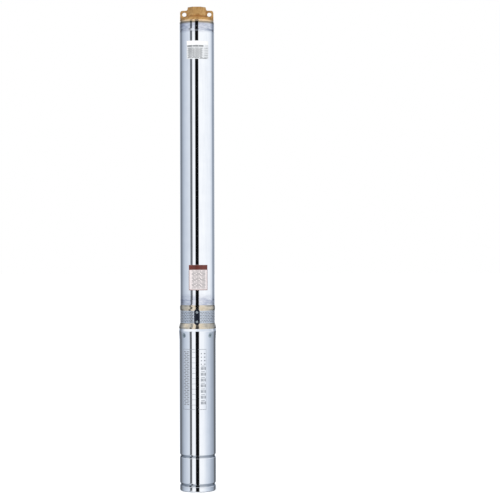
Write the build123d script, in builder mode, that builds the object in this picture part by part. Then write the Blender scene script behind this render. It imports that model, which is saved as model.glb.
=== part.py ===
"""Borehole submersible pump: a multistage pump end screwed onto an oil-filled motor.

The pump stands on the flat foot of its motor, with +Z up. The origin is the centre of that foot.
The lifting lugs lie along X, the screen clip faces -Y and the cable guard runs up the +Y side.
Lengths are millimetres.
"""
from math import cos, radians, sin
import os

from build123d import *

# General clearances
fit_gap = 0.15            # between fixed pieces that slide together when the pump is assembled
run_gap = 0.35            # between pieces that move past each other
stack_gap = 0.1           # between pieces of one kind that are stacked face to face
blind_gap = 1.0           # left at the bottom of blind holes
over_cut = 1.0            # how far a cutting profile runs past the face that it opens

# Motor shell, a drawn stainless tube with two rolled grooves and a top rim that is flared, then
# rolled in over the bracket
motor_radius = 48.0
motor_wall = 1.5
foot_radius = 47.6
foot_round = 4.5
foot_lip_radius = 36.0
groove_depth = 2.7
groove_half_width = 5.0
groove_shoulder = 3.0
groove_root = 1.5
foot_groove_height = 18.5
bracket_groove_drop = 18.5
rim_radius = 49.4
rim_height = 7.0
rim_roll = 1.3
rim_flare_length = 24.0
rim_blend = 4.0

# Screws that hold the shell on the motor's upper bracket
shell_screw_count = 4
shell_screw_angle = 45.0
shell_screw_drop = 17.5
shell_screw_radius = 3.0
shell_screw_length = 10.0
shell_screw_head = 6.4

# Motor bottom cover and pressure diaphragm
cover_height = 26.0
cover_floor = 4.0
cover_side = 7.9
breather_radius = 1.5
breather_offset = 22.0
breather_count = 3
diaphragm_thickness = 2.5
diaphragm_sag = 11.0
diaphragm_middle = 16.5
diaphragm_slope = 3.3
diaphragm_round = 2.0

# Motor bearings, given as bore radius, outer radius, width, ball radius and number of balls
upper_bearing_bore = 10.0
upper_bearing_outside = 23.5
upper_bearing_width = 14.0
upper_ball_radius = 3.97
upper_ball_count = 8
lower_bearing_bore = 12.5
lower_bearing_outside = 26.0
lower_bearing_width = 15.0
lower_ball_radius = 3.97
lower_ball_count = 9
ball_gap = 0.2
bearing_land = 0.32        # share of a bearing's section that each ring takes
cage_thickness = 2.7
cage_width = 10.4

# Motor brackets
lower_bracket_length = 83.5
lower_bearing_drop = 36.0
lower_bearing_shoulder = 6.0
lower_shoulder_radius = 20.0
oil_chamber_radius = 38.0
oil_hole_radius = 3.0
oil_hole_offset = 34.0
oil_hole_count = 4
oil_hole_angle = 45.0
upper_bracket_height = 50.5
upper_hub_radius = 29.0
upper_cavity_radius = 41.5
upper_cavity_depth = 22.0
bearing_to_flange = 34.5
preload_space = 2.0
seal_chamber_radius = 17.0
seal_chamber_depth = 22.0
seal_web = 6.0
lip_seal_radius = 16.0
pilot_radius = 43.6
pilot_height = 3.0
o_ring_radius = 1.05
o_ring_space = 5.0
upper_o_ring_rise = 7.0
stud_boss_wall = 4.0
spring_sheet = 0.8
spring_width = 5.9

# Stator, rotor and motor shaft
stator_length = 200.0
lead_space = 12.0
winding_gap = 2.0
stator_bore = 25.5
slot_count = 24
slot_inner = 28.0
slot_outer = 39.5
slot_width = 4.4
slot_mouth = 1.8
slot_liner = 0.2
end_turn_height = 26.0
end_turn_inner = 29.5
end_turn_outer = 43.5
end_turn_flat = 1.0
rotor_end_ring = 8.0
end_ring_inset = 1.0
rotor_shoulder = 12.0
rotor_shaft_radius = 15.0
seal_shaft_radius = 9.5
shaft_protrusion = 38.1
shaft_tail = 6.0
shaft_chamfer = 1.5
bearing_shoulder = 2.0
seal_step = 2.0
circlip_thickness = 1.5
circlip_groove = 1.0
circlip_width = 2.5
circlip_opening = 4.0
spline_root = 5.5
spline_crest = 6.35
spline_teeth = 14
spline_tooth_width = 1.2
spline_gap = 0.15
spline_sink = 0.5

# Mechanical seal, lip seal and sand slinger on the motor shaft
seal_seat_height = 6.0
seal_seat_gap = 1.2
seal_ring_height = 3.6
seal_ring_inset = 1.0
seal_boot_outer = 14.5
seal_boot_lift = 3.0
seal_boot_fold = 2.5
lip_seal_wall = 2.0
lip_seal_gap = 1.5
lip_seal_edge = 1.5
lip_seal_drop = 0.5
slinger_lift = 1.0
slinger_edge = 1.5
slinger_neck = 2.5
slinger_height = 3.5

# Studs that join the pump to the motor, on the standard 76.2 mm circle
stud_count = 4
stud_offset = 38.1
stud_angle = 45.0
stud_radius = 4.0
stud_depth = 14.0
washer_radius = 7.4
washer_thickness = 1.6
nut_across_flats = 12.0
nut_height = 6.5
stud_end = 2.6
stud_chamfer = 0.8

# Motor lead gland at the back of the motor flange
gland_offset = 38.5
gland_radius = 7.3
gland_depth = 24.0
gland_nut_across_flats = 15.0
gland_nut_height = 6.5
gland_nut_thread = 5.5
gland_nut_reach = 5.5
lead_slot_width = 10.0
lead_slot_height = 4.6
lead_slot_depth = 8.0
oil_plug_offset = 30.0
oil_plug_radius = 3.0
oil_plug_length = 12.0
oil_plug_head = 5.4
oil_plug_head_height = 3.6
oil_plug_sink = 0.4
oil_plug_key = 2.5
oil_plug_key_depth = 2.0

# Suction bracket, a brass casting with five columns between two rings
bracket_plate_height = 12.5
bracket_lip_height = 2.0
bracket_flare_radius = 49.2
bracket_flare_height = 4.0
bracket_ring_radius = 46.6
bracket_edge = 1.0
screen_height = 33.0
upper_ring_height = 14.5
upper_ring_radius = 47.0
upper_ring_land = 6.5
upper_ring_lip = 0.4
column_angles = (0, 68, 112, 180, 270)
column_width = 9.0
column_inner = 31.0
throat_radius = 36.0
coupling_hole_radius = 16.0
cable_notch_width = 20.0
cable_notch_inner = 29.5
cable_groove_inner = 44.2
bracket_spigot = 21.5

# Intake screen and its clip
screen_radius = 45.6
screen_wall = 0.8
screen_hole_radius = 1.4
screen_hole_rows = 7
screen_hole_rise = 4.2
screen_hole_columns = 44
screen_hole_start = 13.5
screen_opening_margin = 1.0
clip_width = 15.0
clip_length = 41.2
clip_thickness = 1.5
clip_screw_spread = 25.0
clip_screw_radius = 1.9
clip_screw_head = 3.3
clip_screw_head_height = 1.5
clip_screw_length = 9.0
screw_head_taper = 20.0

# Pump shell
shell_radius = 45.5
shell_wall = 1.5
top_bearing_space = 59.0
bead_drop = 22.5
bead_depth = 0.8
bead_half_width = 2.4
bead_round = 3.0
inner_radius = 43.0

# Hydraulic stages
stage_count = 12
stage_pitch = 53.0
casing_wall = 1.5
casing_step = 1.4
casing_floor = 2.2
eye_radius = 17.0
impeller_radius = 35.0
impeller_lift = 0.8
impeller_float = 0.8
impeller_shroud = 1.8
impeller_passage = 10.0
impeller_neck_wall = 2.4
impeller_neck_reach = 1.8
impeller_hub_radius = 9.4
impeller_hub_edge = 1.5
impeller_hub_flare = 3.0
impeller_hub_slope = 2.0
impeller_hub_rise = 8.0
impeller_blades = 6
impeller_blade = 1.6
blade_wrap = 62.0
blade_start = 2.0
diffuser_plate = 2.0
diffuser_plate_radius = 37.0
diffuser_vanes = 7
diffuser_vane = 1.8
diffuser_hub_wall = 2.4
vane_start = 1.0

# Pump shaft and its top bearing
shaft_flats = 11.0
coupling_radius = 12.5
coupling_top = 28.0
coupling_lift = 0.5
coupling_chamfer = 1.0
sleeve_radius = 9.0
sleeve_length = 31.0
bush_wall = 2.9
bush_gap = 0.1
bush_inset = 3.0
bearing_hub_wall = 2.6
bearing_arms = 4
bearing_arm_width = 5.0
bearing_rim_wall = 2.0
shaft_top_drop = 15.0
shaft_washer_radius = 8.6
shaft_washer_thickness = 1.6
shaft_screw_flats = 10.0
shaft_screw_head = 4.0
shaft_screw_radius = 3.0
shaft_screw_length = 14.0

# Check valve in the outlet head
valve_seat_height = 9.0
valve_seat_step = 4.0
valve_bore = 17.0
valve_pocket = 24.0
valve_seat_chamfer = 1.5
valve_travel = 10.0
valve_disc_radius = 22.5
valve_disc = 3.5
valve_disc_edge = 1.5
valve_disc_slope = 2.5
valve_seal_thickness = 2.5
valve_seal_inset = 0.5
valve_seal_groove = 3.0
valve_nose = 4.0
valve_nose_gap = 1.0
valve_nose_edge = 2.0
valve_stem_radius = 4.0
valve_stem_foot = 1.5
valve_stem_flare = 2.0
valve_stem_rise = 4.0
valve_guide_ring = 5.5
valve_guide_height = 6.0
valve_guide_hub_wall = 3.5
valve_guide_arms = 3

# Outlet head, a brass casting with an octagonal boss and two lifting lugs
head_rim_radius = 44.3
head_rim_height = 7.5
head_spigot = 20.0
head_chamber_radius = 33.0
head_chamber_rise = 4.5
head_cast_radius = 43.2
head_rim_edge = 1.0
head_shoulder = 3.0
boss_across_flats = 48.0
boss_foot_height = 18.0
boss_chamfer = 1.2
head_height = 40.0
outlet_minor_radius = 19.476
outlet_major_radius = 20.955
outlet_thread_length = 20.0
outlet_chamfer = 2.0
outlet_mouth = 0.5
lug_reach = 43.9
lug_top = 31.6
lug_thickness = 9.0
lug_corner = 6.5
lug_root = 4.0
lug_shoulder = 3.0
lug_slope = 1.0
lug_slope_drop = 3.5
lug_hole_radius = 5.8
lug_hole_offset = 33.0
lug_hole_height = 21.6

# Cable guard, a folded stainless channel up the back of the pump
guard_half_width = 11.0
guard_depth = 6.5
guard_sheet = 0.8
guard_flange = 5.4
guard_bottom_gap = 3.0
guard_screw_angle = 17.0
guard_screw_radius = 1.5
guard_screw_head = 2.5
guard_screw_head_height = 1.4
guard_screw_length = 6.0
guard_screw_inset = 10.0

# Heights worked out from the sizes above
motor_inner = motor_radius - motor_wall
bracket_radius = motor_inner - fit_gap
lower_bracket_bottom = cover_height + diaphragm_thickness
lower_bracket_top = lower_bracket_bottom + lower_bracket_length
lower_bearing_height = lower_bracket_top - lower_bearing_drop
bracket_groove_height = lower_bracket_top - bracket_groove_drop
stator_bottom = lower_bracket_top + lead_space + end_turn_height
stator_top = stator_bottom + stator_length
upper_bracket_bottom = stator_top + end_turn_height + winding_gap
motor_length = upper_bracket_bottom + upper_bracket_height
plate_top = motor_length + bracket_plate_height
screen_bottom = plate_top + bracket_lip_height
screen_top = screen_bottom + screen_height
shell_bottom = screen_top + upper_ring_height
stack_bottom = shell_bottom + bracket_spigot
stack_top = stack_bottom + stage_count * stage_pitch
seat_bottom = stack_top + top_bearing_space
head_bottom = seat_bottom + valve_seat_height
shell_top = head_bottom + head_spigot
shaft_top = seat_bottom - shaft_top_drop
shell_inner = shell_radius - shell_wall
spigot_radius = shell_inner - fit_gap
flange_top = motor_length + pilot_height
upper_bearing_bottom = motor_length - bearing_to_flange - upper_bearing_width
seal_chamber_bottom = upper_bearing_bottom + upper_bearing_width + preload_space
seal_chamber_top = seal_chamber_bottom + seal_chamber_depth
lip_seal_bottom = seal_chamber_top + seal_web
motor_shaft_top = motor_length + shaft_protrusion
guard_outside = shell_radius + guard_depth
stage_heights = [stack_bottom + stage * stage_pitch for stage in range(stage_count)]


def section(*corners):
    """Return a flat profile in the XZ plane, to be turned about the Z axis."""
    with BuildSketch(Plane.XZ) as profile:
        with BuildLine():
            Polyline(*corners, close=True)
        make_face()
    return profile.sketch


def ring_section(inner, outer, bottom, top):
    """Return the profile of a plain ring."""
    return section((inner, bottom), (outer, bottom), (outer, top), (inner, top))


def outward_plane(angle, radius, height):
    """Return a plane that touches a cylinder about Z and faces away from the axis."""
    direction = (cos(radians(angle)), sin(radians(angle)), 0)
    origin = (radius * direction[0], radius * direction[1], height)
    return Plane(origin=origin, x_dir=(-direction[1], direction[0], 0), z_dir=direction)


def polar_points(radius, count, start=0):
    """Return count points on a circle about the Z axis."""
    steps = [radians(start + 360 * step / count) for step in range(count)]
    return [(radius * cos(step), radius * sin(step)) for step in steps]


os.makedirs("parts", exist_ok=True)

# Motor shell: the outer line runs from the rolled foot lip up to the flared rim
groove_radius = motor_radius - groove_depth
rim_start = motor_length - rim_height - rim_flare_length
shell_corners = [
    (foot_lip_radius, 0),
    (foot_radius, 0),
    (foot_radius, foot_groove_height - groove_half_width),
    (groove_radius, foot_groove_height),
    (motor_radius, foot_groove_height + groove_half_width),
    (motor_radius, bracket_groove_height - groove_half_width),
    (groove_radius, bracket_groove_height),
    (motor_radius, bracket_groove_height + groove_half_width),
    (motor_radius, rim_start),
    (rim_radius, motor_length - rim_height),
    (rim_radius - rim_roll, motor_length),
]
groove_rounds = [groove_shoulder, groove_root, groove_shoulder]
shell_rounds = [foot_round] + groove_rounds + groove_rounds + [rim_blend, rim_blend]
shell_screw_height = motor_length - shell_screw_drop
rim_slope = (rim_radius - motor_radius) / rim_flare_length
screw_seat_radius = rim_radius - (shell_screw_drop - rim_height) * rim_slope
shell_screw_seats = [
    outward_plane(shell_screw_angle + 360 * screw / shell_screw_count, screw_seat_radius, shell_screw_height)
    for screw in range(shell_screw_count)
]
shell_hole_radius = shell_screw_radius + fit_gap
shell_sink_radius = shell_screw_head + fit_gap
shell_sink_depth = shell_sink_radius - shell_hole_radius

with BuildPart() as motor_shell:
    with BuildSketch(Plane.XZ):
        with BuildLine():
            FilletPolyline(*shell_corners, radius=shell_rounds)
            offset(amount=motor_wall, side=Side.LEFT)
        make_face()
    revolve(axis=Axis.Z)
    for seat in shell_screw_seats:
        with BuildSketch(seat):
            Circle(shell_sink_radius)
        extrude(amount=over_cut, mode=Mode.SUBTRACT)
        with BuildSketch(seat):
            Circle(shell_sink_radius)
        extrude(amount=-shell_sink_depth, taper=45, mode=Mode.SUBTRACT)
motor_shell.part.label = "motor_shell"
export_step(motor_shell.part, "parts/motor_shell.step")

# Countersunk screws: a cone of 90 degrees over a plain shank
shell_screw_head_depth = shell_screw_head - shell_screw_radius
with BuildPart() as shell_screws:
    for seat in shell_screw_seats:
        with BuildSketch(seat):
            Circle(shell_screw_head)
        extrude(amount=-shell_screw_head_depth, taper=45)
        with BuildSketch(seat.offset(-shell_screw_head_depth)):
            Circle(shell_screw_radius)
        extrude(amount=shell_screw_head_depth - shell_screw_length + blind_gap)
shell_screws.part.label = "shell_screws"
export_step(shell_screws.part, "parts/shell_screws.step")

# Motor foot: a dished cover that stands on the rolled lip and shows through it, flush with the foot
cover_radius = foot_radius - motor_wall - fit_gap
cover_boss_radius = foot_lip_radius - fit_gap
groove_clear_radius = groove_radius - motor_wall - run_gap
groove_clear_half = groove_half_width + motor_wall
with BuildPart() as bottom_cover:
    revolve(section(
        (0, 0),
        (cover_boss_radius, 0),
        (cover_boss_radius, motor_wall),
        (cover_radius - foot_round + fit_gap, motor_wall),
        (cover_radius, motor_wall + foot_round - fit_gap),
        (cover_radius, foot_groove_height - groove_clear_half),
        (groove_clear_radius, foot_groove_height - groove_clear_half / 2),
        (groove_clear_radius, foot_groove_height + groove_clear_half / 2),
        (cover_radius, cover_height),
        (cover_radius - cover_side, cover_height),
        (cover_radius - cover_side, motor_wall + cover_floor),
        (0, motor_wall + cover_floor),
    ), axis=Axis.Z)
    with Locations(*polar_points(breather_offset, breather_count)):
        Hole(breather_radius)
bottom_cover.part.label = "bottom_cover"
export_step(bottom_cover.part, "parts/bottom_cover.step")

# Rubber diaphragm: its rim is clamped between the cover and the lower bracket
rim_middle = cover_height + diaphragm_thickness / 2
fold_radius = cover_radius - cover_side - 2 * diaphragm_thickness
with BuildPart() as diaphragm:
    with BuildSketch(Plane.XZ):
        with BuildLine():
            FilletPolyline(
                (0, rim_middle - diaphragm_sag / 2),
                (diaphragm_middle, rim_middle - diaphragm_sag / 2),
                (diaphragm_middle + diaphragm_slope, rim_middle - diaphragm_sag),
                (fold_radius - diaphragm_slope, rim_middle - diaphragm_sag),
                (fold_radius, rim_middle - diaphragm_thickness / 2),
                (cover_radius, rim_middle - diaphragm_thickness / 2),
                radius=diaphragm_round,
            )
            offset(amount=diaphragm_thickness, side=Side.LEFT)
        make_face()
    revolve(axis=Axis.Z)
diaphragm.part.label = "diaphragm"
export_step(diaphragm.part, "parts/diaphragm.step")

# Lower motor bracket: a cast drum that carries the thrust bearing and is held by a rolled groove
lower_seat_radius = lower_bearing_outside + fit_gap
lower_bearing_top = lower_bearing_height + lower_bearing_width
chamber_top = lower_bearing_height - lower_bearing_shoulder
lower_ring_heights = (
    bracket_groove_height + groove_clear_half + o_ring_space,
    bracket_groove_height - groove_clear_half - o_ring_space,
)
o_groove_radius = motor_inner - 2 * o_ring_radius - 2 * fit_gap
o_groove_half = o_ring_radius + fit_gap
with BuildPart() as lower_bracket:
    revolve(ring_section(lower_shoulder_radius, bracket_radius, lower_bracket_bottom, lower_bracket_top),
            axis=Axis.Z)
    revolve(ring_section(0, oil_chamber_radius, 0, chamber_top), axis=Axis.Z, mode=Mode.SUBTRACT)
    revolve(ring_section(0, lower_seat_radius, lower_bearing_height, motor_length), axis=Axis.Z,
            mode=Mode.SUBTRACT)
    revolve(section(
        (bracket_radius + over_cut, bracket_groove_height - groove_clear_half - over_cut),
        (groove_clear_radius, bracket_groove_height - groove_clear_half / 2),
        (groove_clear_radius, bracket_groove_height + groove_clear_half / 2),
        (bracket_radius + over_cut, bracket_groove_height + groove_clear_half + over_cut),
    ), axis=Axis.Z, mode=Mode.SUBTRACT)
    for height in lower_ring_heights:
        revolve(ring_section(o_groove_radius, motor_radius, height - o_groove_half, height + o_groove_half),
                axis=Axis.Z, mode=Mode.SUBTRACT)
    with Locations(*polar_points(oil_hole_offset, oil_hole_count, oil_hole_angle)):
        Hole(oil_hole_radius)
lower_bracket.part.label = "lower_bracket"
export_step(lower_bracket.part, "parts/lower_bracket.step")


def bearing_ring(bore, outside, width, bottom, ball_radius, inner):
    """Return the profile of one bearing ring, with its raceway groove cut by the ball circle."""
    pitch = (bore + outside) / 2
    land = (outside - bore) * bearing_land
    start = bore if inner else outside - land
    with BuildSketch(Plane.XZ) as profile:
        with BuildLine():
            Polyline(
                (start, bottom),
                (start + land, bottom),
                (start + land, bottom + width),
                (start, bottom + width),
                close=True,
            )
        make_face()
        with Locations((pitch, bottom + width / 2)):
            Circle(ball_radius + ball_gap, mode=Mode.SUBTRACT)
    return profile.sketch


def ball_centres(bore, outside, width, bottom, count):
    """Return the centres of a bearing's balls."""
    return [(x, y, bottom + width / 2) for x, y in polar_points((bore + outside) / 2, count)]


# Lower bearing, which carries the weight and thrust of the shaft line
lower_balls_at = ball_centres(lower_bearing_bore, lower_bearing_outside, lower_bearing_width,
                              lower_bearing_height, lower_ball_count)
lower_pitch = (lower_bearing_bore + lower_bearing_outside) / 2
lower_middle = lower_bearing_height + lower_bearing_width / 2
with BuildPart() as lower_bearing_outer:
    revolve(bearing_ring(lower_bearing_bore, lower_bearing_outside, lower_bearing_width,
                         lower_bearing_height, lower_ball_radius, False), axis=Axis.Z)
lower_bearing_outer.part.label = "lower_bearing_outer"
export_step(lower_bearing_outer.part, "parts/lower_bearing_outer.step")

with BuildPart() as lower_bearing_inner:
    revolve(bearing_ring(lower_bearing_bore, lower_bearing_outside, lower_bearing_width,
                         lower_bearing_height, lower_ball_radius, True), axis=Axis.Z)
lower_bearing_inner.part.label = "lower_bearing_inner"
export_step(lower_bearing_inner.part, "parts/lower_bearing_inner.step")

with BuildPart() as lower_bearing_balls:
    with Locations(*lower_balls_at):
        Sphere(lower_ball_radius)
lower_bearing_balls.part.label = "lower_bearing_balls"
export_step(lower_bearing_balls.part, "parts/lower_bearing_balls.step")

with BuildPart() as lower_bearing_cage:
    revolve(ring_section(lower_pitch - cage_thickness / 2, lower_pitch + cage_thickness / 2,
                         lower_middle - cage_width / 2, lower_middle + cage_width / 2), axis=Axis.Z)
    for ball in range(lower_ball_count):
        with BuildSketch(outward_plane(360 * ball / lower_ball_count, lower_pitch, lower_middle)):
            Circle(lower_ball_radius + fit_gap)
        extrude(amount=cage_thickness, both=True, mode=Mode.SUBTRACT)
lower_bearing_cage.part.label = "lower_bearing_cage"
export_step(lower_bearing_cage.part, "parts/lower_bearing_cage.step")

# Upper bearing, a plain radial ball bearing
upper_balls_at = ball_centres(upper_bearing_bore, upper_bearing_outside, upper_bearing_width,
                              upper_bearing_bottom, upper_ball_count)
upper_pitch = (upper_bearing_bore + upper_bearing_outside) / 2
upper_middle = upper_bearing_bottom + upper_bearing_width / 2
with BuildPart() as upper_bearing_outer:
    revolve(bearing_ring(upper_bearing_bore, upper_bearing_outside, upper_bearing_width,
                         upper_bearing_bottom, upper_ball_radius, False), axis=Axis.Z)
upper_bearing_outer.part.label = "upper_bearing_outer"
export_step(upper_bearing_outer.part, "parts/upper_bearing_outer.step")

with BuildPart() as upper_bearing_inner:
    revolve(bearing_ring(upper_bearing_bore, upper_bearing_outside, upper_bearing_width,
                         upper_bearing_bottom, upper_ball_radius, True), axis=Axis.Z)
upper_bearing_inner.part.label = "upper_bearing_inner"
export_step(upper_bearing_inner.part, "parts/upper_bearing_inner.step")

with BuildPart() as upper_bearing_balls:
    with Locations(*upper_balls_at):
        Sphere(upper_ball_radius)
upper_bearing_balls.part.label = "upper_bearing_balls"
export_step(upper_bearing_balls.part, "parts/upper_bearing_balls.step")

with BuildPart() as upper_bearing_cage:
    revolve(ring_section(upper_pitch - cage_thickness / 2, upper_pitch + cage_thickness / 2,
                         upper_middle - cage_width / 2, upper_middle + cage_width / 2), axis=Axis.Z)
    for ball in range(upper_ball_count):
        with BuildSketch(outward_plane(360 * ball / upper_ball_count, upper_pitch, upper_middle)):
            Circle(upper_ball_radius + fit_gap)
        extrude(amount=cage_thickness, both=True, mode=Mode.SUBTRACT)
upper_bearing_cage.part.label = "upper_bearing_cage"
export_step(upper_bearing_cage.part, "parts/upper_bearing_cage.step")

# Motor shaft: bearing journals, the rotor seat, the seal journal and a splined end
shaft_bottom = lower_bearing_height - shaft_tail
journal = fit_gap / 2
tooth_length = spline_crest - spline_root + spline_sink
slinger_bore = spline_crest + fit_gap
with BuildPart() as motor_shaft:
    revolve(section(
        (0, shaft_bottom),
        (lower_bearing_bore - shaft_chamfer, shaft_bottom),
        (lower_bearing_bore - journal, shaft_bottom + shaft_chamfer),
        (lower_bearing_bore - journal, lower_bearing_height - 2 * fit_gap - circlip_thickness),
        (lower_bearing_bore - circlip_groove, lower_bearing_height - 2 * fit_gap - circlip_thickness),
        (lower_bearing_bore - circlip_groove, lower_bearing_height),
        (lower_bearing_bore - journal, lower_bearing_height),
        (lower_bearing_bore - journal, lower_bearing_top),
        (rotor_shaft_radius, lower_bearing_top),
        (rotor_shaft_radius, stator_top + rotor_shoulder),
        (upper_bearing_bore + bearing_shoulder, stator_top + rotor_shoulder),
        (upper_bearing_bore + bearing_shoulder, upper_bearing_bottom),
        (upper_bearing_bore - journal, upper_bearing_bottom),
        (upper_bearing_bore - journal, seal_chamber_bottom + seal_step),
        (seal_shaft_radius, seal_chamber_bottom + seal_step),
        (seal_shaft_radius, flange_top),
        (spline_root, flange_top),
        (spline_root, motor_shaft_top),
        (0, motor_shaft_top),
    ), axis=Axis.Z)
    with BuildSketch(Plane.XY.offset(flange_top)):
        with PolarLocations(spline_crest - tooth_length / 2, spline_teeth):
            Rectangle(tooth_length, spline_tooth_width)
    extrude(amount=motor_shaft_top - flange_top)
motor_shaft.part.label = "motor_shaft"
export_step(motor_shaft.part, "parts/motor_shaft.step")

with BuildPart() as shaft_circlip:
    with BuildSketch(Plane.XY.offset(lower_bearing_height - fit_gap - circlip_thickness)):
        Circle(lower_bearing_bore + circlip_width)
        Circle(lower_bearing_bore - circlip_groove + journal, mode=Mode.SUBTRACT)
        with Locations((lower_bearing_bore, 0)):
            Rectangle(3 * circlip_width, circlip_opening, mode=Mode.SUBTRACT)
    extrude(amount=circlip_thickness)
shaft_circlip.part.label = "shaft_circlip"
export_step(shaft_circlip.part, "parts/shaft_circlip.step")

# Rotor: a laminated core between two cast end rings
rotor_radius = stator_bore - run_gap
with BuildPart() as rotor_core:
    revolve(ring_section(rotor_shaft_radius + journal, rotor_radius, stator_bottom, stator_top), axis=Axis.Z)
rotor_core.part.label = "rotor_core"
export_step(rotor_core.part, "parts/rotor_core.step")

with BuildPart() as rotor_end_rings:
    for bottom in (stator_bottom - rotor_end_ring, stator_top):
        revolve(ring_section(rotor_shaft_radius + end_ring_inset, rotor_radius - end_ring_inset, bottom,
                             bottom + rotor_end_ring), axis=Axis.Z)
rotor_end_rings.part.label = "rotor_end_rings"
export_step(rotor_end_rings.part, "parts/rotor_end_rings.step")

# Stator: a slotted core, and copper bars in its slots joined by rounded end turns
slot_middle = (slot_inner + slot_outer) / 2
with BuildPart() as stator_core:
    with BuildSketch(Plane.XY.offset(stator_bottom)):
        Circle(bracket_radius)
        Circle(stator_bore, mode=Mode.SUBTRACT)
        with PolarLocations(slot_middle, slot_count):
            Rectangle(slot_outer - slot_inner, slot_width, mode=Mode.SUBTRACT)
        with PolarLocations((stator_bore + slot_inner) / 2, slot_count):
            Rectangle(slot_inner - stator_bore + over_cut, slot_mouth, mode=Mode.SUBTRACT)
    extrude(amount=stator_length)
stator_core.part.label = "stator_core"
export_step(stator_core.part, "parts/stator_core.step")

end_turn_round = (end_turn_outer - end_turn_inner) / 2 - end_turn_flat
with BuildPart() as stator_windings:
    with BuildSketch(Plane.XY.offset(stator_bottom)):
        with PolarLocations(slot_middle, slot_count):
            Rectangle(slot_outer - slot_inner - 2 * slot_liner, slot_width - 2 * slot_liner)
    extrude(amount=stator_length)
    for base, height in ((stator_bottom, -end_turn_height), (stator_top, end_turn_height)):
        with BuildSketch(Plane.XZ) as end_turn:
            with BuildLine():
                Polyline(
                    (end_turn_inner, base),
                    (end_turn_outer, base),
                    (end_turn_outer, base + height),
                    (end_turn_inner, base + height),
                    close=True,
                )
            make_face()
            far_end = base + height
            far_corners = end_turn.vertices().filter_by_position(Axis.Z, far_end - fit_gap, far_end + fit_gap)
            fillet(far_corners, end_turn_round)
        revolve(axis=Axis.Z)
stator_windings.part.label = "stator_windings"
export_step(stator_windings.part, "parts/stator_windings.step")

# Upper motor bracket, whose outer line follows the flared shell
upper_seat_radius = upper_bearing_outside + fit_gap
flange_radius = rim_radius - motor_wall - fit_gap
upper_ring_height_at = upper_bracket_bottom + upper_o_ring_rise
stud_places = polar_points(stud_offset, stud_count, stud_angle)
with BuildPart() as upper_bracket:
    revolve(section(
        (upper_bearing_bore, upper_bracket_bottom),
        (bracket_radius, upper_bracket_bottom),
        (bracket_radius, rim_start),
        (flange_radius, motor_length - rim_height),
        (flange_radius - rim_roll, motor_length),
        (pilot_radius, motor_length),
        (pilot_radius, flange_top),
        (upper_bearing_bore, flange_top),
    ), axis=Axis.Z)
    revolve(ring_section(upper_hub_radius, upper_cavity_radius, upper_bracket_bottom,
                         upper_bracket_bottom + upper_cavity_depth), axis=Axis.Z, mode=Mode.SUBTRACT)
    with BuildSketch(Plane.XY.offset(upper_bracket_bottom)):
        with Locations(*stud_places):
            Circle(stud_radius + stud_boss_wall)
        Circle(upper_cavity_radius + over_cut, mode=Mode.INTERSECT)
    extrude(amount=upper_cavity_depth)
    revolve(ring_section(0, upper_seat_radius, 0, seal_chamber_bottom), axis=Axis.Z, mode=Mode.SUBTRACT)
    revolve(ring_section(0, seal_chamber_radius, 0, seal_chamber_top), axis=Axis.Z, mode=Mode.SUBTRACT)
    revolve(ring_section(0, seal_shaft_radius + seal_step, 0, motor_shaft_top), axis=Axis.Z,
            mode=Mode.SUBTRACT)
    revolve(ring_section(0, lip_seal_radius, lip_seal_bottom, motor_shaft_top), axis=Axis.Z,
            mode=Mode.SUBTRACT)
    revolve(ring_section(o_groove_radius, motor_radius, upper_ring_height_at - o_groove_half,
                         upper_ring_height_at + o_groove_half), axis=Axis.Z, mode=Mode.SUBTRACT)
    with Locations(*[(x, y, flange_top) for x, y in stud_places]):
        Hole(stud_radius + journal, stud_depth)
    with Locations((0, gland_offset, flange_top)):
        Hole(gland_radius, gland_depth + upper_cavity_depth)
    with Locations((0, -oil_plug_offset, flange_top)):
        CounterBoreHole(oil_plug_radius + journal, oil_plug_head + fit_gap, oil_plug_head_height,
                        oil_plug_length + blind_gap)
    for seat in shell_screw_seats:
        with BuildSketch(seat):
            Circle(shell_sink_radius)
        extrude(amount=-shell_sink_depth, taper=45, mode=Mode.SUBTRACT)
        with BuildSketch(seat):
            Circle(shell_hole_radius)
        extrude(amount=-shell_screw_length, mode=Mode.SUBTRACT)
upper_bracket.part.label = "upper_bracket"
export_step(upper_bracket.part, "parts/upper_bracket.step")

# Rubber rings in the brackets' grooves seal the motor
with BuildPart() as motor_o_rings:
    for height in (*lower_ring_heights, upper_ring_height_at):
        with BuildSketch(Plane.XZ):
            with Locations((motor_inner - fit_gap / 2 - o_ring_radius, height)):
                Circle(o_ring_radius)
        revolve(axis=Axis.Z)
motor_o_rings.part.label = "motor_o_rings"
export_step(motor_o_rings.part, "parts/motor_o_rings.step")

# Wave washer that loads the upper bearing, drawn as a dished ring
spring_inner = upper_bearing_outside - spring_width
spring_bottom = upper_bearing_bottom + upper_bearing_width
with BuildPart() as preload_spring:
    revolve(section(
        (spring_inner, spring_bottom + preload_space - spring_sheet),
        (upper_bearing_outside, spring_bottom),
        (upper_bearing_outside, spring_bottom + spring_sheet),
        (spring_inner, spring_bottom + preload_space),
    ), axis=Axis.Z)
preload_spring.part.label = "preload_spring"
export_step(preload_spring.part, "parts/preload_spring.step")

# Mechanical seal: a boot with its spring on the shaft, a carbon ring and a ceramic seat
seal_seat_bottom = seal_chamber_top - seal_seat_height
seal_ring_top = seal_seat_bottom - run_gap
seal_boot_bottom = seal_chamber_bottom + seal_boot_lift
with BuildPart() as seal_seat:
    revolve(ring_section(seal_shaft_radius + seal_seat_gap, seal_chamber_radius - fit_gap, seal_seat_bottom,
                         seal_chamber_top), axis=Axis.Z)
seal_seat.part.label = "seal_seat"
export_step(seal_seat.part, "parts/seal_seat.step")

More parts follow.
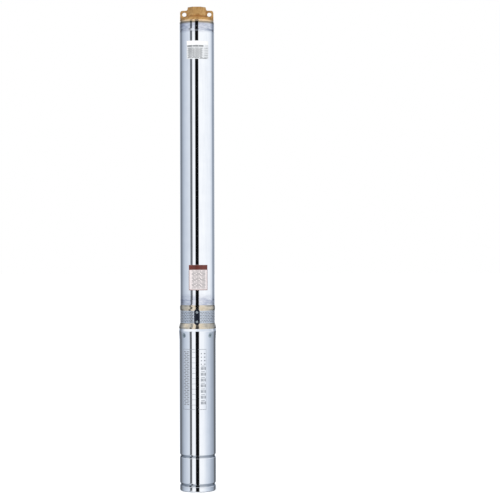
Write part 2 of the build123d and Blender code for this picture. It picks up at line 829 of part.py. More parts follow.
with BuildPart() as seal_ring:
    revolve(ring_section(seal_shaft_radius + journal, seal_boot_outer - seal_ring_inset,
                         seal_ring_top - seal_ring_height, seal_ring_top), axis=Axis.Z)
seal_ring.part.label = "seal_ring"
export_step(seal_ring.part, "parts/seal_ring.step")

boot_top = seal_ring_top - seal_ring_height
boot_fold = (boot_top - seal_boot_bottom) / 4
with BuildPart() as seal_boot:
    revolve(section(
        (seal_shaft_radius + journal, seal_boot_bottom),
        (seal_boot_outer, seal_boot_bottom),
        (seal_boot_outer, seal_boot_bottom + boot_fold),
        (seal_boot_outer - seal_boot_fold, seal_boot_bottom + 2 * boot_fold),
        (seal_boot_outer, seal_boot_bottom + 3 * boot_fold),
        (seal_boot_outer, boot_top),
        (seal_shaft_radius + journal, boot_top),
    ), axis=Axis.Z)
seal_boot.part.label = "seal_boot"
export_step(seal_boot.part, "parts/seal_boot.step")

lip_top = flange_top - lip_seal_drop
lip_root = seal_shaft_radius + lip_seal_gap
with BuildPart() as lip_seal:
    revolve(section(
        (lip_root, lip_seal_bottom),
        (lip_seal_radius - fit_gap, lip_seal_bottom),
        (lip_seal_radius - fit_gap, lip_top),
        (lip_seal_radius - lip_seal_wall, lip_top),
        (lip_seal_radius - lip_seal_wall, lip_seal_bottom + lip_seal_wall),
        (lip_root + lip_seal_edge, lip_seal_bottom + lip_seal_wall),
        (seal_shaft_radius + run_gap, lip_top - lip_seal_edge),
        (seal_shaft_radius + run_gap, lip_top - 2 * lip_seal_edge),
    ), axis=Axis.Z)
lip_seal.part.label = "lip_seal"
export_step(lip_seal.part, "parts/lip_seal.step")

slinger_bottom = flange_top + slinger_lift
with BuildPart() as sand_slinger:
    revolve(section(
        (slinger_bore, slinger_bottom),
        (coupling_radius, slinger_bottom),
        (coupling_radius, slinger_bottom + slinger_edge),
        (spline_crest + slinger_neck, slinger_bottom + slinger_height),
        (slinger_bore, slinger_bottom + slinger_height),
    ), axis=Axis.Z)
sand_slinger.part.label = "sand_slinger"
export_step(sand_slinger.part, "parts/sand_slinger.step")

# Motor lead gland: a rubber plug with the flat lead's slot, pressed down by a hollow nut
nut_seat = flange_top - gland_nut_reach
with BuildPart() as gland_rubber:
    with BuildSketch(Plane.XY.offset(flange_top - gland_depth)):
        with Locations((0, gland_offset)):
            Circle(gland_radius - fit_gap)
    extrude(amount=gland_depth - gland_nut_reach)
    with BuildSketch(Plane.XY.offset(nut_seat - lead_slot_depth)):
        with Locations((0, gland_offset)):
            Rectangle(lead_slot_width, lead_slot_height)
    extrude(amount=lead_slot_depth, mode=Mode.SUBTRACT)
gland_rubber.part.label = "gland_rubber"
export_step(gland_rubber.part, "parts/gland_rubber.step")

with BuildPart() as gland_nut:
    with BuildSketch(Plane.XY.offset(nut_seat)):
        with Locations((0, gland_offset)):
            Circle(gland_radius - fit_gap)
    extrude(amount=gland_nut_reach)
    with BuildSketch(Plane.XY.offset(flange_top)):
        with Locations((0, gland_offset)):
            RegularPolygon(gland_nut_across_flats / 2, 6, major_radius=False, rotation=30)
    extrude(amount=gland_nut_height)
    with Locations((0, gland_offset, flange_top + gland_nut_height)):
        Hole(gland_nut_thread)
gland_nut.part.label = "gland_nut"
export_step(gland_nut.part, "parts/gland_nut.step")

with BuildPart() as oil_plug:
    with BuildSketch(Plane.XY.offset(flange_top - oil_plug_head_height)):
        with Locations((0, -oil_plug_offset)):
            Circle(oil_plug_head)
    extrude(amount=oil_plug_head_height - oil_plug_sink)
    with BuildSketch(Plane.XY.offset(flange_top - oil_plug_head_height)):
        with Locations((0, -oil_plug_offset)):
            Circle(oil_plug_radius)
    extrude(amount=-oil_plug_length + oil_plug_head_height)
    with BuildSketch(Plane.XY.offset(flange_top - oil_plug_sink - oil_plug_key_depth)):
        with Locations((0, -oil_plug_offset)):
            RegularPolygon(oil_plug_key, 6, major_radius=False)
    extrude(amount=oil_plug_key_depth, mode=Mode.SUBTRACT)
oil_plug.part.label = "oil_plug"
export_step(oil_plug.part, "parts/oil_plug.step")

# Places of the guard's screws, on the flanges of the guard
guard_flange_outer = shell_radius + fit_gap + guard_sheet
guard_screw_seats = [
    outward_plane(90 + side * guard_screw_angle, guard_flange_outer, height)
    for side in (-1, 1)
    for height in (shell_bottom + guard_screw_inset, shell_top - guard_screw_inset)
]

# Suction bracket: a flared lower ring, five columns, an upper ring and a spigot for the pump shell
lip_inner = screen_radius - screen_wall - fit_gap
clip_middle = (screen_bottom + screen_top) / 2
clip_screw_heights = (clip_middle - clip_screw_spread / 2, clip_middle + clip_screw_spread / 2)
with BuildPart() as clip_recess:
    with BuildSketch(Plane.XZ):
        with Locations((0, clip_middle)):
            SlotOverall(clip_length + 2 * fit_gap, clip_width + 2 * fit_gap, rotation=90)
    extrude(amount=2 * screen_radius)
    revolve(ring_section(screen_radius, 2 * screen_radius, screen_bottom - clip_length,
                         screen_top + clip_length), axis=Axis.Z, mode=Mode.INTERSECT)

with BuildPart() as suction_bracket:
    revolve(section(
        (coupling_hole_radius, motor_length),
        (bracket_flare_radius, motor_length),
        (bracket_flare_radius, motor_length + bracket_flare_height),
        (bracket_ring_radius, screen_bottom - bracket_edge),
        (bracket_ring_radius - bracket_edge, screen_bottom),
        (lip_inner, screen_bottom),
        (lip_inner, plate_top),
        (coupling_hole_radius, plate_top),
    ), axis=Axis.Z)
    revolve(ring_section(0, pilot_radius + fit_gap, motor_length - over_cut, flange_top), axis=Axis.Z,
            mode=Mode.SUBTRACT)
    revolve(section(
        (throat_radius, screen_top),
        (screen_radius + upper_ring_lip, screen_top),
        (upper_ring_radius, screen_top + (upper_ring_height - upper_ring_land) / 2),
        (upper_ring_radius, shell_bottom - (upper_ring_height - upper_ring_land) / 2),
        (shell_radius, shell_bottom),
        (spigot_radius, shell_bottom),
        (spigot_radius, stack_bottom),
        (throat_radius, stack_bottom),
    ), axis=Axis.Z)
    with BuildSketch(Plane.XY.offset(plate_top)):
        for angle in column_angles:
            with PolarLocations((column_inner + lip_inner) / 2, 1, angle):
                Rectangle(lip_inner - column_inner + 2 * over_cut, column_width)
        Circle(lip_inner, mode=Mode.INTERSECT)
    extrude(amount=screen_top - plate_top)
    with BuildSketch(Plane.XY.offset(motor_length)):
        with Locations((0, cable_notch_inner + motor_radius / 2)):
            Rectangle(cable_notch_width, motor_radius)
    extrude(amount=screen_top - motor_length, mode=Mode.SUBTRACT)
    with BuildSketch(Plane.XY.offset(screen_top)):
        with Locations((0, cable_groove_inner + motor_radius / 2)):
            Rectangle(cable_notch_width, motor_radius)
    extrude(amount=shell_bottom - screen_top, mode=Mode.SUBTRACT)
    with Locations(*[(x, y, plate_top) for x, y in stud_places]):
        Hole(stud_radius + fit_gap, bracket_plate_height)
    add(clip_recess.part, mode=Mode.SUBTRACT)
    for height in clip_screw_heights:
        with BuildSketch(outward_plane(270, screen_radius, height)):
            Circle(clip_screw_radius + fit_gap)
        extrude(amount=-clip_screw_length, mode=Mode.SUBTRACT)
    for seat in guard_screw_seats:
        with BuildSketch(seat):
            Circle(guard_screw_radius + fit_gap)
        extrude(amount=-guard_screw_length - blind_gap, mode=Mode.SUBTRACT)
suction_bracket.part.label = "suction_bracket"
export_step(suction_bracket.part, "parts/suction_bracket.step")

# Studs, washers and nuts between the pump and the motor
nut_bottom = plate_top + washer_thickness
stud_bottom = flange_top - stud_depth + blind_gap
stud_top = nut_bottom + nut_height + stud_end
with BuildPart() as flange_studs:
    with BuildSketch(Plane.XY.offset(stud_bottom)):
        with Locations(*stud_places):
            Circle(stud_radius)
    extrude(amount=stud_top - stud_bottom)
    chamfer(flange_studs.faces().group_by(Axis.Z)[-1].edges(), stud_chamfer)
flange_studs.part.label = "flange_studs"
export_step(flange_studs.part, "parts/flange_studs.step")

with BuildPart() as flange_washers:
    with BuildSketch(Plane.XY.offset(plate_top)):
        with Locations(*stud_places):
            Circle(washer_radius)
            Circle(stud_radius + fit_gap, mode=Mode.SUBTRACT)
        Circle(lip_inner - journal, mode=Mode.INTERSECT)
    extrude(amount=washer_thickness)
flange_washers.part.label = "flange_washers"
export_step(flange_washers.part, "parts/flange_washers.step")

with BuildPart() as flange_nuts:
    with BuildSketch(Plane.XY.offset(nut_bottom)):
        with PolarLocations(stud_offset, stud_count, stud_angle):
            RegularPolygon(nut_across_flats / 2, 6, major_radius=False, rotation=30)
            Circle(stud_radius + journal, mode=Mode.SUBTRACT)
    extrude(amount=nut_height)
flange_nuts.part.label = "flange_nuts"
export_step(flange_nuts.part, "parts/flange_nuts.step")

# Intake screen: a perforated sheet rolled round the columns, open at the back for the lead
screen_hole_step = (180 - 2 * screen_hole_start) / (screen_hole_columns / 2 - 0.5)
screen_hole_planes = [
    outward_plane(
        270 + side * (screen_hole_start + (column + row % 2 / 2) * screen_hole_step),
        screen_radius,
        clip_middle + (row - (screen_hole_rows - 1) / 2) * screen_hole_rise,
    )
    for side in (-1, 1)
    for row in range(screen_hole_rows)
    for column in range(screen_hole_columns // 2)
]
with BuildPart() as intake_screen:
    revolve(ring_section(screen_radius - screen_wall, screen_radius, screen_bottom, screen_top), axis=Axis.Z)
    with Locations(*screen_hole_planes):
        Cylinder(screen_hole_radius, 4 * screen_wall, mode=Mode.SUBTRACT)
    with BuildSketch(Plane.XY.offset(screen_bottom)):
        with Locations((0, screen_radius)):
            Rectangle(cable_notch_width + 2 * screen_opening_margin, screen_radius)
    extrude(amount=screen_height, mode=Mode.SUBTRACT)
    for height in clip_screw_heights:
        with BuildSketch(outward_plane(270, screen_radius, height)):
            Circle(clip_screw_radius + fit_gap)
        extrude(amount=clip_screw_length, both=True, mode=Mode.SUBTRACT)
intake_screen.part.label = "intake_screen"
export_step(intake_screen.part, "parts/intake_screen.step")

# Clip plate that holds the ends of the screen down, with two pan-head screws
clip_outside = screen_radius + fit_gap + clip_thickness
with BuildPart() as screen_clip:
    with BuildSketch(Plane.XZ):
        with Locations((0, clip_middle)):
            SlotOverall(clip_length, clip_width, rotation=90)
    extrude(amount=2 * screen_radius)
    revolve(ring_section(screen_radius + fit_gap, clip_outside, screen_bottom - clip_length,
                         screen_top + clip_length), axis=Axis.Z, mode=Mode.INTERSECT)
    for height in clip_screw_heights:
        with BuildSketch(outward_plane(270, screen_radius, height)):
            Circle(clip_screw_radius + fit_gap)
        extrude(amount=clip_screw_length, both=True, mode=Mode.SUBTRACT)
screen_clip.part.label = "screen_clip"
export_step(screen_clip.part, "parts/screen_clip.step")

with BuildPart() as clip_screws:
    for height in clip_screw_heights:
        with BuildSketch(outward_plane(270, clip_outside, height)):
            Circle(clip_screw_head)
        extrude(amount=clip_screw_head_height, taper=screw_head_taper)
        with BuildSketch(outward_plane(270, clip_outside, height)):
            Circle(clip_screw_radius)
        extrude(amount=-clip_screw_length)
clip_screws.part.label = "clip_screws"
export_step(clip_screws.part, "parts/clip_screws.step")

# Pump shell: a tube with a shallow rolled bead below its top end
bead_height = shell_top - bead_drop
with BuildPart() as pump_shell:
    with BuildSketch(Plane.XZ):
        with BuildLine():
            FilletPolyline(
                (shell_radius, shell_bottom),
                (shell_radius, bead_height - bead_half_width),
                (shell_radius - bead_depth, bead_height),
                (shell_radius, bead_height + bead_half_width),
                (shell_radius, shell_top),
                radius=bead_round,
            )
            offset(amount=shell_wall, side=Side.LEFT)
        make_face()
    revolve(axis=Axis.Z)
    for seat in guard_screw_seats:
        with BuildSketch(seat):
            Circle(guard_screw_radius + fit_gap)
        extrude(amount=-guard_screw_length - blind_gap, mode=Mode.SUBTRACT)
pump_shell.part.label = "pump_shell"
export_step(pump_shell.part, "parts/pump_shell.step")

# One stage is a casing cup, an impeller and a diffuser, with heights from the cup's foot
impeller_front = casing_floor + impeller_lift
impeller_back = impeller_front + impeller_shroud + impeller_passage
impeller_top = impeller_back + impeller_shroud
diffuser_foot = impeller_top + impeller_float + run_gap
diffuser_top = stage_pitch - stack_gap
casing_inner = inner_radius - casing_wall
neck_radius = eye_radius - run_gap
neck_inner = neck_radius - impeller_neck_wall
diffuser_bore = impeller_hub_radius + run_gap
impeller_hub_top = diffuser_foot + diffuser_plate + impeller_hub_rise
stage_places = [(0, 0, height) for height in stage_heights]

with BuildPart() as casing:
    revolve(section(
        (eye_radius, 0),
        (inner_radius, 0),
        (inner_radius, stage_pitch - stack_gap),
        (casing_inner, stage_pitch - stack_gap),
        (casing_inner, diffuser_foot),
        (casing_inner - casing_step, diffuser_foot),
        (casing_inner - casing_step, casing_floor),
        (eye_radius, casing_floor),
    ), axis=Axis.Z)

with BuildPart() as stage_casings:
    with Locations(*stage_places):
        add(casing.part)
stage_casings.part.label = "stage_casings"
export_step(stage_casings.part, "parts/stage_casings.step")


def curved_vane(inner, outer, wrap, width, bottom, top):
    """Return one upright vane whose middle line is an arc from the inner to the outer radius."""
    middle = (inner + outer) / 2
    turn = radians(wrap)
    with BuildPart() as vane:
        with BuildSketch(Plane.XY.offset(bottom)):
            with BuildLine():
                ThreePointArc(
                    (inner, 0),
                    (middle * cos(turn * 0.4), middle * sin(turn * 0.4)),
                    (outer * cos(turn), outer * sin(turn)),
                )
            trace(line_width=width)
        extrude(amount=top - bottom)
    return vane.part


# Impeller: a shrouded wheel with backward-curved blades, free to float on the hexagonal shaft
blade_form = curved_vane(impeller_hub_radius + blade_start, impeller_radius, -blade_wrap, impeller_blade,
                         impeller_front + impeller_shroud / 2, impeller_back + impeller_shroud / 2)
with BuildPart() as impeller:
    with PolarLocations(0, impeller_blades):
        add(blade_form)
    revolve(ring_section(0, impeller_radius, 0, stage_pitch), axis=Axis.Z, mode=Mode.INTERSECT)
    revolve(section(
        (neck_inner, casing_floor - impeller_neck_reach),
        (neck_radius, casing_floor - impeller_neck_reach),
        (neck_radius, impeller_front),
        (impeller_radius, impeller_front),
        (impeller_radius, impeller_front + impeller_shroud),
        (neck_inner, impeller_front + impeller_shroud),
    ), axis=Axis.Z)
    revolve(section(
        (0, impeller_front),
        (impeller_hub_radius - impeller_hub_edge, impeller_front),
        (impeller_hub_radius, impeller_front + impeller_hub_edge),
        (impeller_hub_radius, impeller_back - impeller_hub_slope),
        (impeller_hub_radius + impeller_hub_flare, impeller_back),
        (impeller_radius, impeller_back),
        (impeller_radius, impeller_top),
        (impeller_hub_radius, impeller_top),
        (impeller_hub_radius, impeller_hub_top),
        (0, impeller_hub_top),
    ), axis=Axis.Z)
    with BuildSketch():
        RegularPolygon(shaft_flats / 2 + run_gap, 6, major_radius=False)
    extrude(amount=stage_pitch, mode=Mode.SUBTRACT)

with BuildPart() as impellers:
    with Locations(*stage_places):
        add(impeller.part)
impellers.part.label = "impellers"
export_step(impellers.part, "parts/impellers.step")

# Diffuser: a plate on the casing's step, with vanes that lead the water in to the next eye
vane_form = curved_vane(diffuser_bore + vane_start, inner_radius, blade_wrap, diffuser_vane, diffuser_foot,
                        diffuser_top)
with BuildPart() as diffuser:
    with PolarLocations(0, diffuser_vanes):
        add(vane_form)
    revolve(ring_section(0, casing_inner - fit_gap, 0, stage_pitch), axis=Axis.Z, mode=Mode.INTERSECT)
    revolve(ring_section(0, diffuser_plate_radius, diffuser_foot, diffuser_foot + diffuser_plate),
            axis=Axis.Z)
    revolve(ring_section(0, diffuser_bore + diffuser_hub_wall, diffuser_foot, diffuser_top), axis=Axis.Z)
    revolve(ring_section(0, diffuser_bore, 0, stage_pitch), axis=Axis.Z, mode=Mode.SUBTRACT)

with BuildPart() as diffusers:
    with Locations(*stage_places):
        add(diffuser.part)
diffusers.part.label = "diffusers"
export_step(diffusers.part, "parts/diffusers.step")

# Pump shaft and the splined coupling that joins it to the motor shaft
shaft_foot = motor_shaft_top + run_gap
with BuildPart() as pump_shaft:
    with BuildSketch(Plane.XY.offset(shaft_foot)):
        RegularPolygon(shaft_flats / 2, 6, major_radius=False)
    extrude(amount=shaft_top - shaft_foot)
    with Locations((0, 0, shaft_top)):
        Hole(shaft_screw_radius + journal, shaft_screw_length + blind_gap)
pump_shaft.part.label = "pump_shaft"
export_step(pump_shaft.part, "parts/pump_shaft.step")

coupling_bottom = slinger_bottom + slinger_height + coupling_lift
coupling_end = motor_shaft_top + coupling_top
with BuildPart() as shaft_coupling:
    with BuildSketch(Plane.XY.offset(coupling_bottom)):
        Circle(coupling_radius)
    extrude(amount=coupling_end - coupling_bottom)
    chamfer(shaft_coupling.faces().filter_by(Axis.Z).edges(), coupling_chamfer)
    with BuildSketch(Plane.XY.offset(coupling_bottom)):
        Circle(spline_root + spline_gap)
        with PolarLocations(spline_crest + spline_gap - tooth_length / 2, spline_teeth):
            Rectangle(tooth_length, spline_tooth_width + 2 * spline_gap)
    extrude(amount=motor_shaft_top + run_gap / 2 - coupling_bottom, mode=Mode.SUBTRACT)
    with BuildSketch(Plane.XY.offset(motor_shaft_top)):
        RegularPolygon(shaft_flats / 2 + fit_gap, 6, major_radius=False)
    extrude(amount=coupling_top, mode=Mode.SUBTRACT)
shaft_coupling.part.label = "shaft_coupling"
export_step(shaft_coupling.part, "parts/shaft_coupling.step")

# Top bearing: a steel sleeve on the shaft turns in a rubber bush held by a spider
sleeve_top = shaft_top - stack_gap
sleeve_bottom = sleeve_top - sleeve_length
bush_inner = sleeve_radius + bush_gap
bush_outer = bush_inner + bush_wall
hub_radius = bush_outer + journal + bearing_hub_wall
bush_top = sleeve_top - bush_inset
bush_bottom = sleeve_bottom + bush_inset
with BuildPart() as shaft_sleeve:
    with BuildSketch(Plane.XY.offset(sleeve_bottom)):
        Circle(sleeve_radius)
        RegularPolygon(shaft_flats / 2 + journal, 6, major_radius=False, mode=Mode.SUBTRACT)
    extrude(amount=sleeve_length)
shaft_sleeve.part.label = "shaft_sleeve"
export_step(shaft_sleeve.part, "parts/shaft_sleeve.step")

with BuildPart() as bearing_bush:
    revolve(ring_section(bush_inner, bush_outer, bush_bottom, bush_top), axis=Axis.Z)
bearing_bush.part.label = "bearing_bush"
export_step(bearing_bush.part, "parts/bearing_bush.step")

with BuildPart() as bearing_spider:
    with BuildSketch(Plane.XY.offset(bush_bottom)):
        with PolarLocations(inner_radius / 2, bearing_arms, 45):
            Rectangle(inner_radius, bearing_arm_width)
        Circle(inner_radius - bearing_rim_wall / 2, mode=Mode.INTERSECT)
    extrude(amount=bush_top - bush_bottom)
    revolve(ring_section(inner_radius - bearing_rim_wall, inner_radius, stack_top, seat_bottom), axis=Axis.Z)
    revolve(ring_section(0, hub_radius, bush_bottom, bush_top), axis=Axis.Z)
    revolve(ring_section(0, bush_outer + journal, stack_top, seat_bottom), axis=Axis.Z, mode=Mode.SUBTRACT)
bearing_spider.part.label = "bearing_spider"
export_step(bearing_spider.part, "parts/bearing_spider.step")

with BuildPart() as shaft_washer:
    revolve(ring_section(shaft_screw_radius + fit_gap, shaft_washer_radius, shaft_top,
                         shaft_top + shaft_washer_thickness), axis=Axis.Z)
shaft_washer.part.label = "shaft_washer"
export_step(shaft_washer.part, "parts/shaft_washer.step")

with BuildPart() as shaft_screw:
    with BuildSketch(Plane.XY.offset(shaft_top + shaft_washer_thickness)):
        RegularPolygon(shaft_screw_flats / 2, 6, major_radius=False)
    extrude(amount=shaft_screw_head)
    with BuildSketch(Plane.XY.offset(shaft_top + shaft_washer_thickness)):
        Circle(shaft_screw_radius)
    extrude(amount=-shaft_screw_length - shaft_washer_thickness)
shaft_screw.part.label = "shaft_screw"
export_step(shaft_screw.part, "parts/shaft_screw.step")

# Check valve: a seat ring, a poppet with its rubber seal, and a guide in the head's chamber
seat_face = seat_bottom + valve_seat_height - valve_seat_step
seal_bottom = seat_face + run_gap
seal_top = seal_bottom + valve_seal_thickness
disc_top = seal_top + valve_disc
guide_ceiling = shell_top + head_chamber_rise
guide_bottom = disc_top + valve_travel + valve_stem_foot + run_gap
stem_top = guide_ceiling + valve_stem_rise
seal_groove = valve_bore - valve_seal_groove
nose_radius = valve_bore - valve_nose_gap
with BuildPart() as valve_seat:
    revolve(section(
        (valve_bore, seat_bottom),
        (inner_radius, seat_bottom),
        (inner_radius, head_bottom),
        (valve_pocket, head_bottom),
        (valve_pocket, seat_face),
        (valve_bore + valve_seat_chamfer, seat_face),
        (valve_bore, seat_face - valve_seat_chamfer),
    ), axis=Axis.Z)
valve_seat.part.label = "valve_seat"
export_step(valve_seat.part, "parts/valve_seat.step")

with BuildPart() as valve_poppet:
    revolve(section(
        (0, seat_bottom),
        (seal_groove - valve_nose, seat_bottom),
        (nose_radius, seat_face - valve_nose_edge),
        (nose_radius, seal_bottom),
        (seal_groove, seal_bottom),
        (seal_groove, seal_top),
        (valve_disc_radius, seal_top),
        (valve_disc_radius, disc_top - valve_disc_edge),
        (valve_disc_radius - valve_disc_slope, disc_top),
        (valve_stem_radius + valve_stem_flare, disc_top),
        (valve_stem_radius, disc_top + valve_stem_foot),
        (valve_stem_radius, stem_top),
        (0, stem_top),
    ), axis=Axis.Z)
valve_poppet.part.label = "valve_poppet"
export_step(valve_poppet.part, "parts/valve_poppet.step")

with BuildPart() as valve_seal:
    revolve(ring_section(seal_groove + journal, valve_disc_radius - valve_seal_inset, seal_bottom, seal_top),
            axis=Axis.Z)
valve_seal.part.label = "valve_seal"
export_step(valve_seal.part, "parts/valve_seal.step")

guide_bore = valve_stem_radius + run_gap
guide_hub = guide_bore + valve_guide_hub_wall
guide_outer = head_chamber_radius - fit_gap
with BuildPart() as valve_guide:
    with BuildSketch(Plane.XY.offset(guide_ceiling - valve_guide_height)):
        with PolarLocations(guide_outer / 2, valve_guide_arms, 90):
            Rectangle(guide_outer, valve_guide_hub_wall)
        Circle(guide_outer - 1, mode=Mode.INTERSECT)
    extrude(amount=valve_guide_height)
    revolve(ring_section(guide_outer - valve_guide_ring, guide_outer, guide_ceiling - valve_guide_height,
                         guide_ceiling), axis=Axis.Z)
    revolve(ring_section(0, guide_hub, guide_bottom, guide_ceiling), axis=Axis.Z)
    revolve(ring_section(0, guide_bore, guide_bottom, guide_ceiling), axis=Axis.Z, mode=Mode.SUBTRACT)
valve_guide.part.label = "valve_guide"
export_step(valve_guide.part, "parts/valve_guide.step")

# Outlet head: spigot, machined rim, domed casting, octagonal boss and two lifting lugs
rim_top = shell_top + head_rim_height
head_top = shell_top + head_height
boss_foot = shell_top + boss_foot_height
boss_radius = boss_across_flats / 2
thread_bottom = head_top - outlet_thread_length
throat_edge = head_chamber_radius - valve_guide_ring
lug_hole_at = shell_top + lug_hole_height
with BuildPart() as outlet_head:
    revolve(section(
        (0, head_bottom),
        (spigot_radius, head_bottom),
        (spigot_radius, shell_top),
        (head_rim_radius, shell_top),
        (head_rim_radius, rim_top),
        (head_cast_radius, rim_top + head_rim_edge),
        (head_cast_radius, rim_top + head_shoulder),
        (boss_radius, boss_foot),
        (0, boss_foot),
    ), axis=Axis.Z)
    with BuildSketch(Plane.XY.offset(boss_foot - over_cut)):
        RegularPolygon(boss_radius, 8, major_radius=False, rotation=22.5)
    extrude(amount=head_top - boss_foot + over_cut)
    chamfer(outlet_head.faces().sort_by(Axis.Z)[-1].edges(), boss_chamfer)
    with BuildSketch(Plane.XZ):
        with BuildLine():
            Polyline(
                (boss_radius - lug_root, rim_top),
                (lug_reach, rim_top),
                (lug_reach, shell_top + lug_top),
                (boss_radius + lug_shoulder, shell_top + lug_top),
                (boss_radius - lug_slope, head_top - lug_slope_drop),
                (boss_radius - lug_root, head_top - lug_slope_drop),
                close=True,
            )
        lug_face = make_face()
        fillet(lug_face.vertices().sort_by(Axis.X)[-2:].sort_by(Axis.Z)[-1], lug_corner)
        mirror(about=Plane.YZ)
    extrude(amount=lug_thickness / 2, both=True)
    with BuildSketch(Plane.XZ):
        with Locations((lug_hole_offset, lug_hole_at), (-lug_hole_offset, lug_hole_at)):
            Circle(lug_hole_radius)
    extrude(amount=lug_thickness, both=True, mode=Mode.SUBTRACT)
    revolve(section(
        (0, head_bottom),
        (head_chamber_radius, head_bottom),
        (head_chamber_radius, guide_ceiling),
        (throat_edge, guide_ceiling),
        (outlet_minor_radius, thread_bottom),
        (outlet_minor_radius, head_top - outlet_chamfer),
        (outlet_major_radius + outlet_mouth, head_top),
        (0, head_top),
    ), axis=Axis.Z, mode=Mode.SUBTRACT)
    for seat in guard_screw_seats:
        with BuildSketch(seat):
            Circle(guard_screw_radius + fit_gap)
        extrude(amount=-guard_screw_length - blind_gap, mode=Mode.SUBTRACT)
outlet_head.part.label = "outlet_head"
export_step(outlet_head.part, "parts/outlet_head.step")

# Cable guard: a hat-section channel with flanges that hug the shell
guard_bottom = motor_length + guard_bottom_gap
guard_inner = shell_radius + fit_gap
channel_half = guard_half_width - guard_sheet
with BuildPart() as cable_guard:
    with BuildSketch(Plane.XY.offset(guard_bottom)):
        Circle(guard_flange_outer)
        with Locations((0, guard_outside / 2)):
            Rectangle(2 * (guard_half_width + guard_flange), guard_outside, mode=Mode.INTERSECT)
        with Locations((0, guard_outside - guard_depth)):
            Rectangle(2 * guard_half_width, 2 * guard_depth)
        with Locations((0, guard_outside - guard_sheet - guard_depth)):
            Rectangle(2 * channel_half, 2 * guard_depth, mode=Mode.SUBTRACT)
        Circle(guard_inner, mode=Mode.SUBTRACT)
    extrude(amount=shell_top - guard_bottom)
    revolve(ring_section(0, bracket_flare_radius + fit_gap, motor_length,
                         motor_length + bracket_flare_height + over_cut), axis=Axis.Z, mode=Mode.SUBTRACT)
    revolve(ring_section(0, upper_ring_radius + fit_gap, screen_top, shell_bottom), axis=Axis.Z,
            mode=Mode.SUBTRACT)
    revolve(section(
        (0, motor_length + bracket_flare_height),
        (bracket_flare_radius + fit_gap, motor_length + bracket_flare_height),
        (bracket_ring_radius + 2 * fit_gap, screen_bottom - bracket_edge),
        (bracket_ring_radius + 2 * fit_gap, screen_bottom),
        (0, screen_bottom),
    ), axis=Axis.Z, mode=Mode.SUBTRACT)
    for seat in guard_screw_seats:
        with BuildSketch(seat):
            Circle(guard_screw_radius + fit_gap)
        extrude(amount=guard_screw_length, both=True, mode=Mode.SUBTRACT)
cable_guard.part.label = "cable_guard"
export_step(cable_guard.part, "parts/cable_guard.step")

with BuildPart() as guard_screws:
    for seat in guard_screw_seats:
        with BuildSketch(seat):
            Circle(guard_screw_head)
        extrude(amount=guard_screw_head_height, taper=screw_head_taper)
        with BuildSketch(seat):
            Circle(guard_screw_radius)
        extrude(amount=-guard_screw_length)
guard_screws.part.label = "guard_screws"
export_step(guard_screws.part, "parts/guard_screws.step")
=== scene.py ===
"""Looks of the borehole submersible pump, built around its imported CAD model.

The file follows the pump as it is put together: the motor from its shell inwards, the suction
bracket and its screen, the pump shell with the stages, the outlet head, the guard, the stickers,
and last the studio. Lengths are metres, +Z is up, the camera looks along +Y.
"""
from math import cos, pi, radians, sin, tau

import bmesh
import bpy
import numpy as np
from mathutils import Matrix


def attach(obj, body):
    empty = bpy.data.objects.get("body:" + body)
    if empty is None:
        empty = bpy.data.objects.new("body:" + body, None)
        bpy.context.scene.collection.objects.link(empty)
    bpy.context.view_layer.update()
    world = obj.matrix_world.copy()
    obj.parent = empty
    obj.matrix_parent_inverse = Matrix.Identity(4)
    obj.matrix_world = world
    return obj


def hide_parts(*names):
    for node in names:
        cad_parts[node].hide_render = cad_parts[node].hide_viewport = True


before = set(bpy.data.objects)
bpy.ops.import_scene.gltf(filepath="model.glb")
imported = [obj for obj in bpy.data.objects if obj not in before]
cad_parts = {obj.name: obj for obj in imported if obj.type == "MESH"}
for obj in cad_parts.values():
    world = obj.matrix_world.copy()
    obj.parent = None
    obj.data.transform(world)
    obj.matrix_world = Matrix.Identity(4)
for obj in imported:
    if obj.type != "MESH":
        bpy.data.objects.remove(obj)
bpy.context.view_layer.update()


# ---------------------------------------------------------------------------------------------
# Motor shell: a deep-drawn stainless tube with two rolled grooves and a flared rim. It is
# polished round its axis on rollers, which leaves very fine hoops and a mirror finish.

def colour(red, green, blue):
    """Turn an sRGB colour of 0 to 255 into the linear colour that a shader socket takes."""
    share = np.array([red, green, blue]) / 255
    linear = np.where(share > 0.04045, ((share + 0.055) / 1.055) ** 2.4, share / 12.92)
    return (*(float(part) for part in linear), 1.0)


def put(tree, kind, values=None, **settings):
    """Add one shader node. An input is linked where its value is an output, and else written."""
    node = tree.nodes.new("ShaderNode" + kind)
    for key, value in settings.items():
        setattr(node, key, value)
    for key, value in (values or {}).items():
        if isinstance(value, bpy.types.NodeSocket):
            tree.links.new(value, node.inputs[key])
        else:
            node.inputs[key].default_value = value
    return node


def sums(tree, operation, first, second=0.0):
    """Add a Math node and return its output. Some operations read only the first value."""
    return put(tree, "Math", {0: first, 1: second}, operation=operation).outputs[0]


def spread(tree, value, low, high, first, last):
    """Map a value from low..high to first..last, held at both ends, and return the output."""
    limits = {"Value": value, "From Min": low, "From Max": high, "To Min": first, "To Max": last}
    return put(tree, "MapRange", limits).outputs["Result"]


def grain(tree, place, scale, detail=2.0, roughness=0.5):
    """Add a noise texture on the given place and return its value."""
    values = {"Vector": place, "Scale": scale, "Detail": detail, "Roughness": roughness}
    return put(tree, "TexNoise", values).outputs["Fac"]


def blended(tree, share, first, second):
    """Mix two colours by a share and return the mixed colour."""
    return put(tree, "Mix", {0: share, 6: first, 7: second}, data_type="RGBA").outputs[2]


def stretched(tree, place, along_x, along_y, along_z):
    """Scale a place along its three axes, to draw a pattern out in one direction."""
    scale = (along_x, along_y, along_z)
    return put(tree, "VectorMath", {0: place, 1: scale}, operation="MULTIPLY").outputs[0]


def height_of(tree, place):
    """Return the height of a place above the motor's foot."""
    return put(tree, "SeparateXYZ", {0: place}).outputs["Z"]


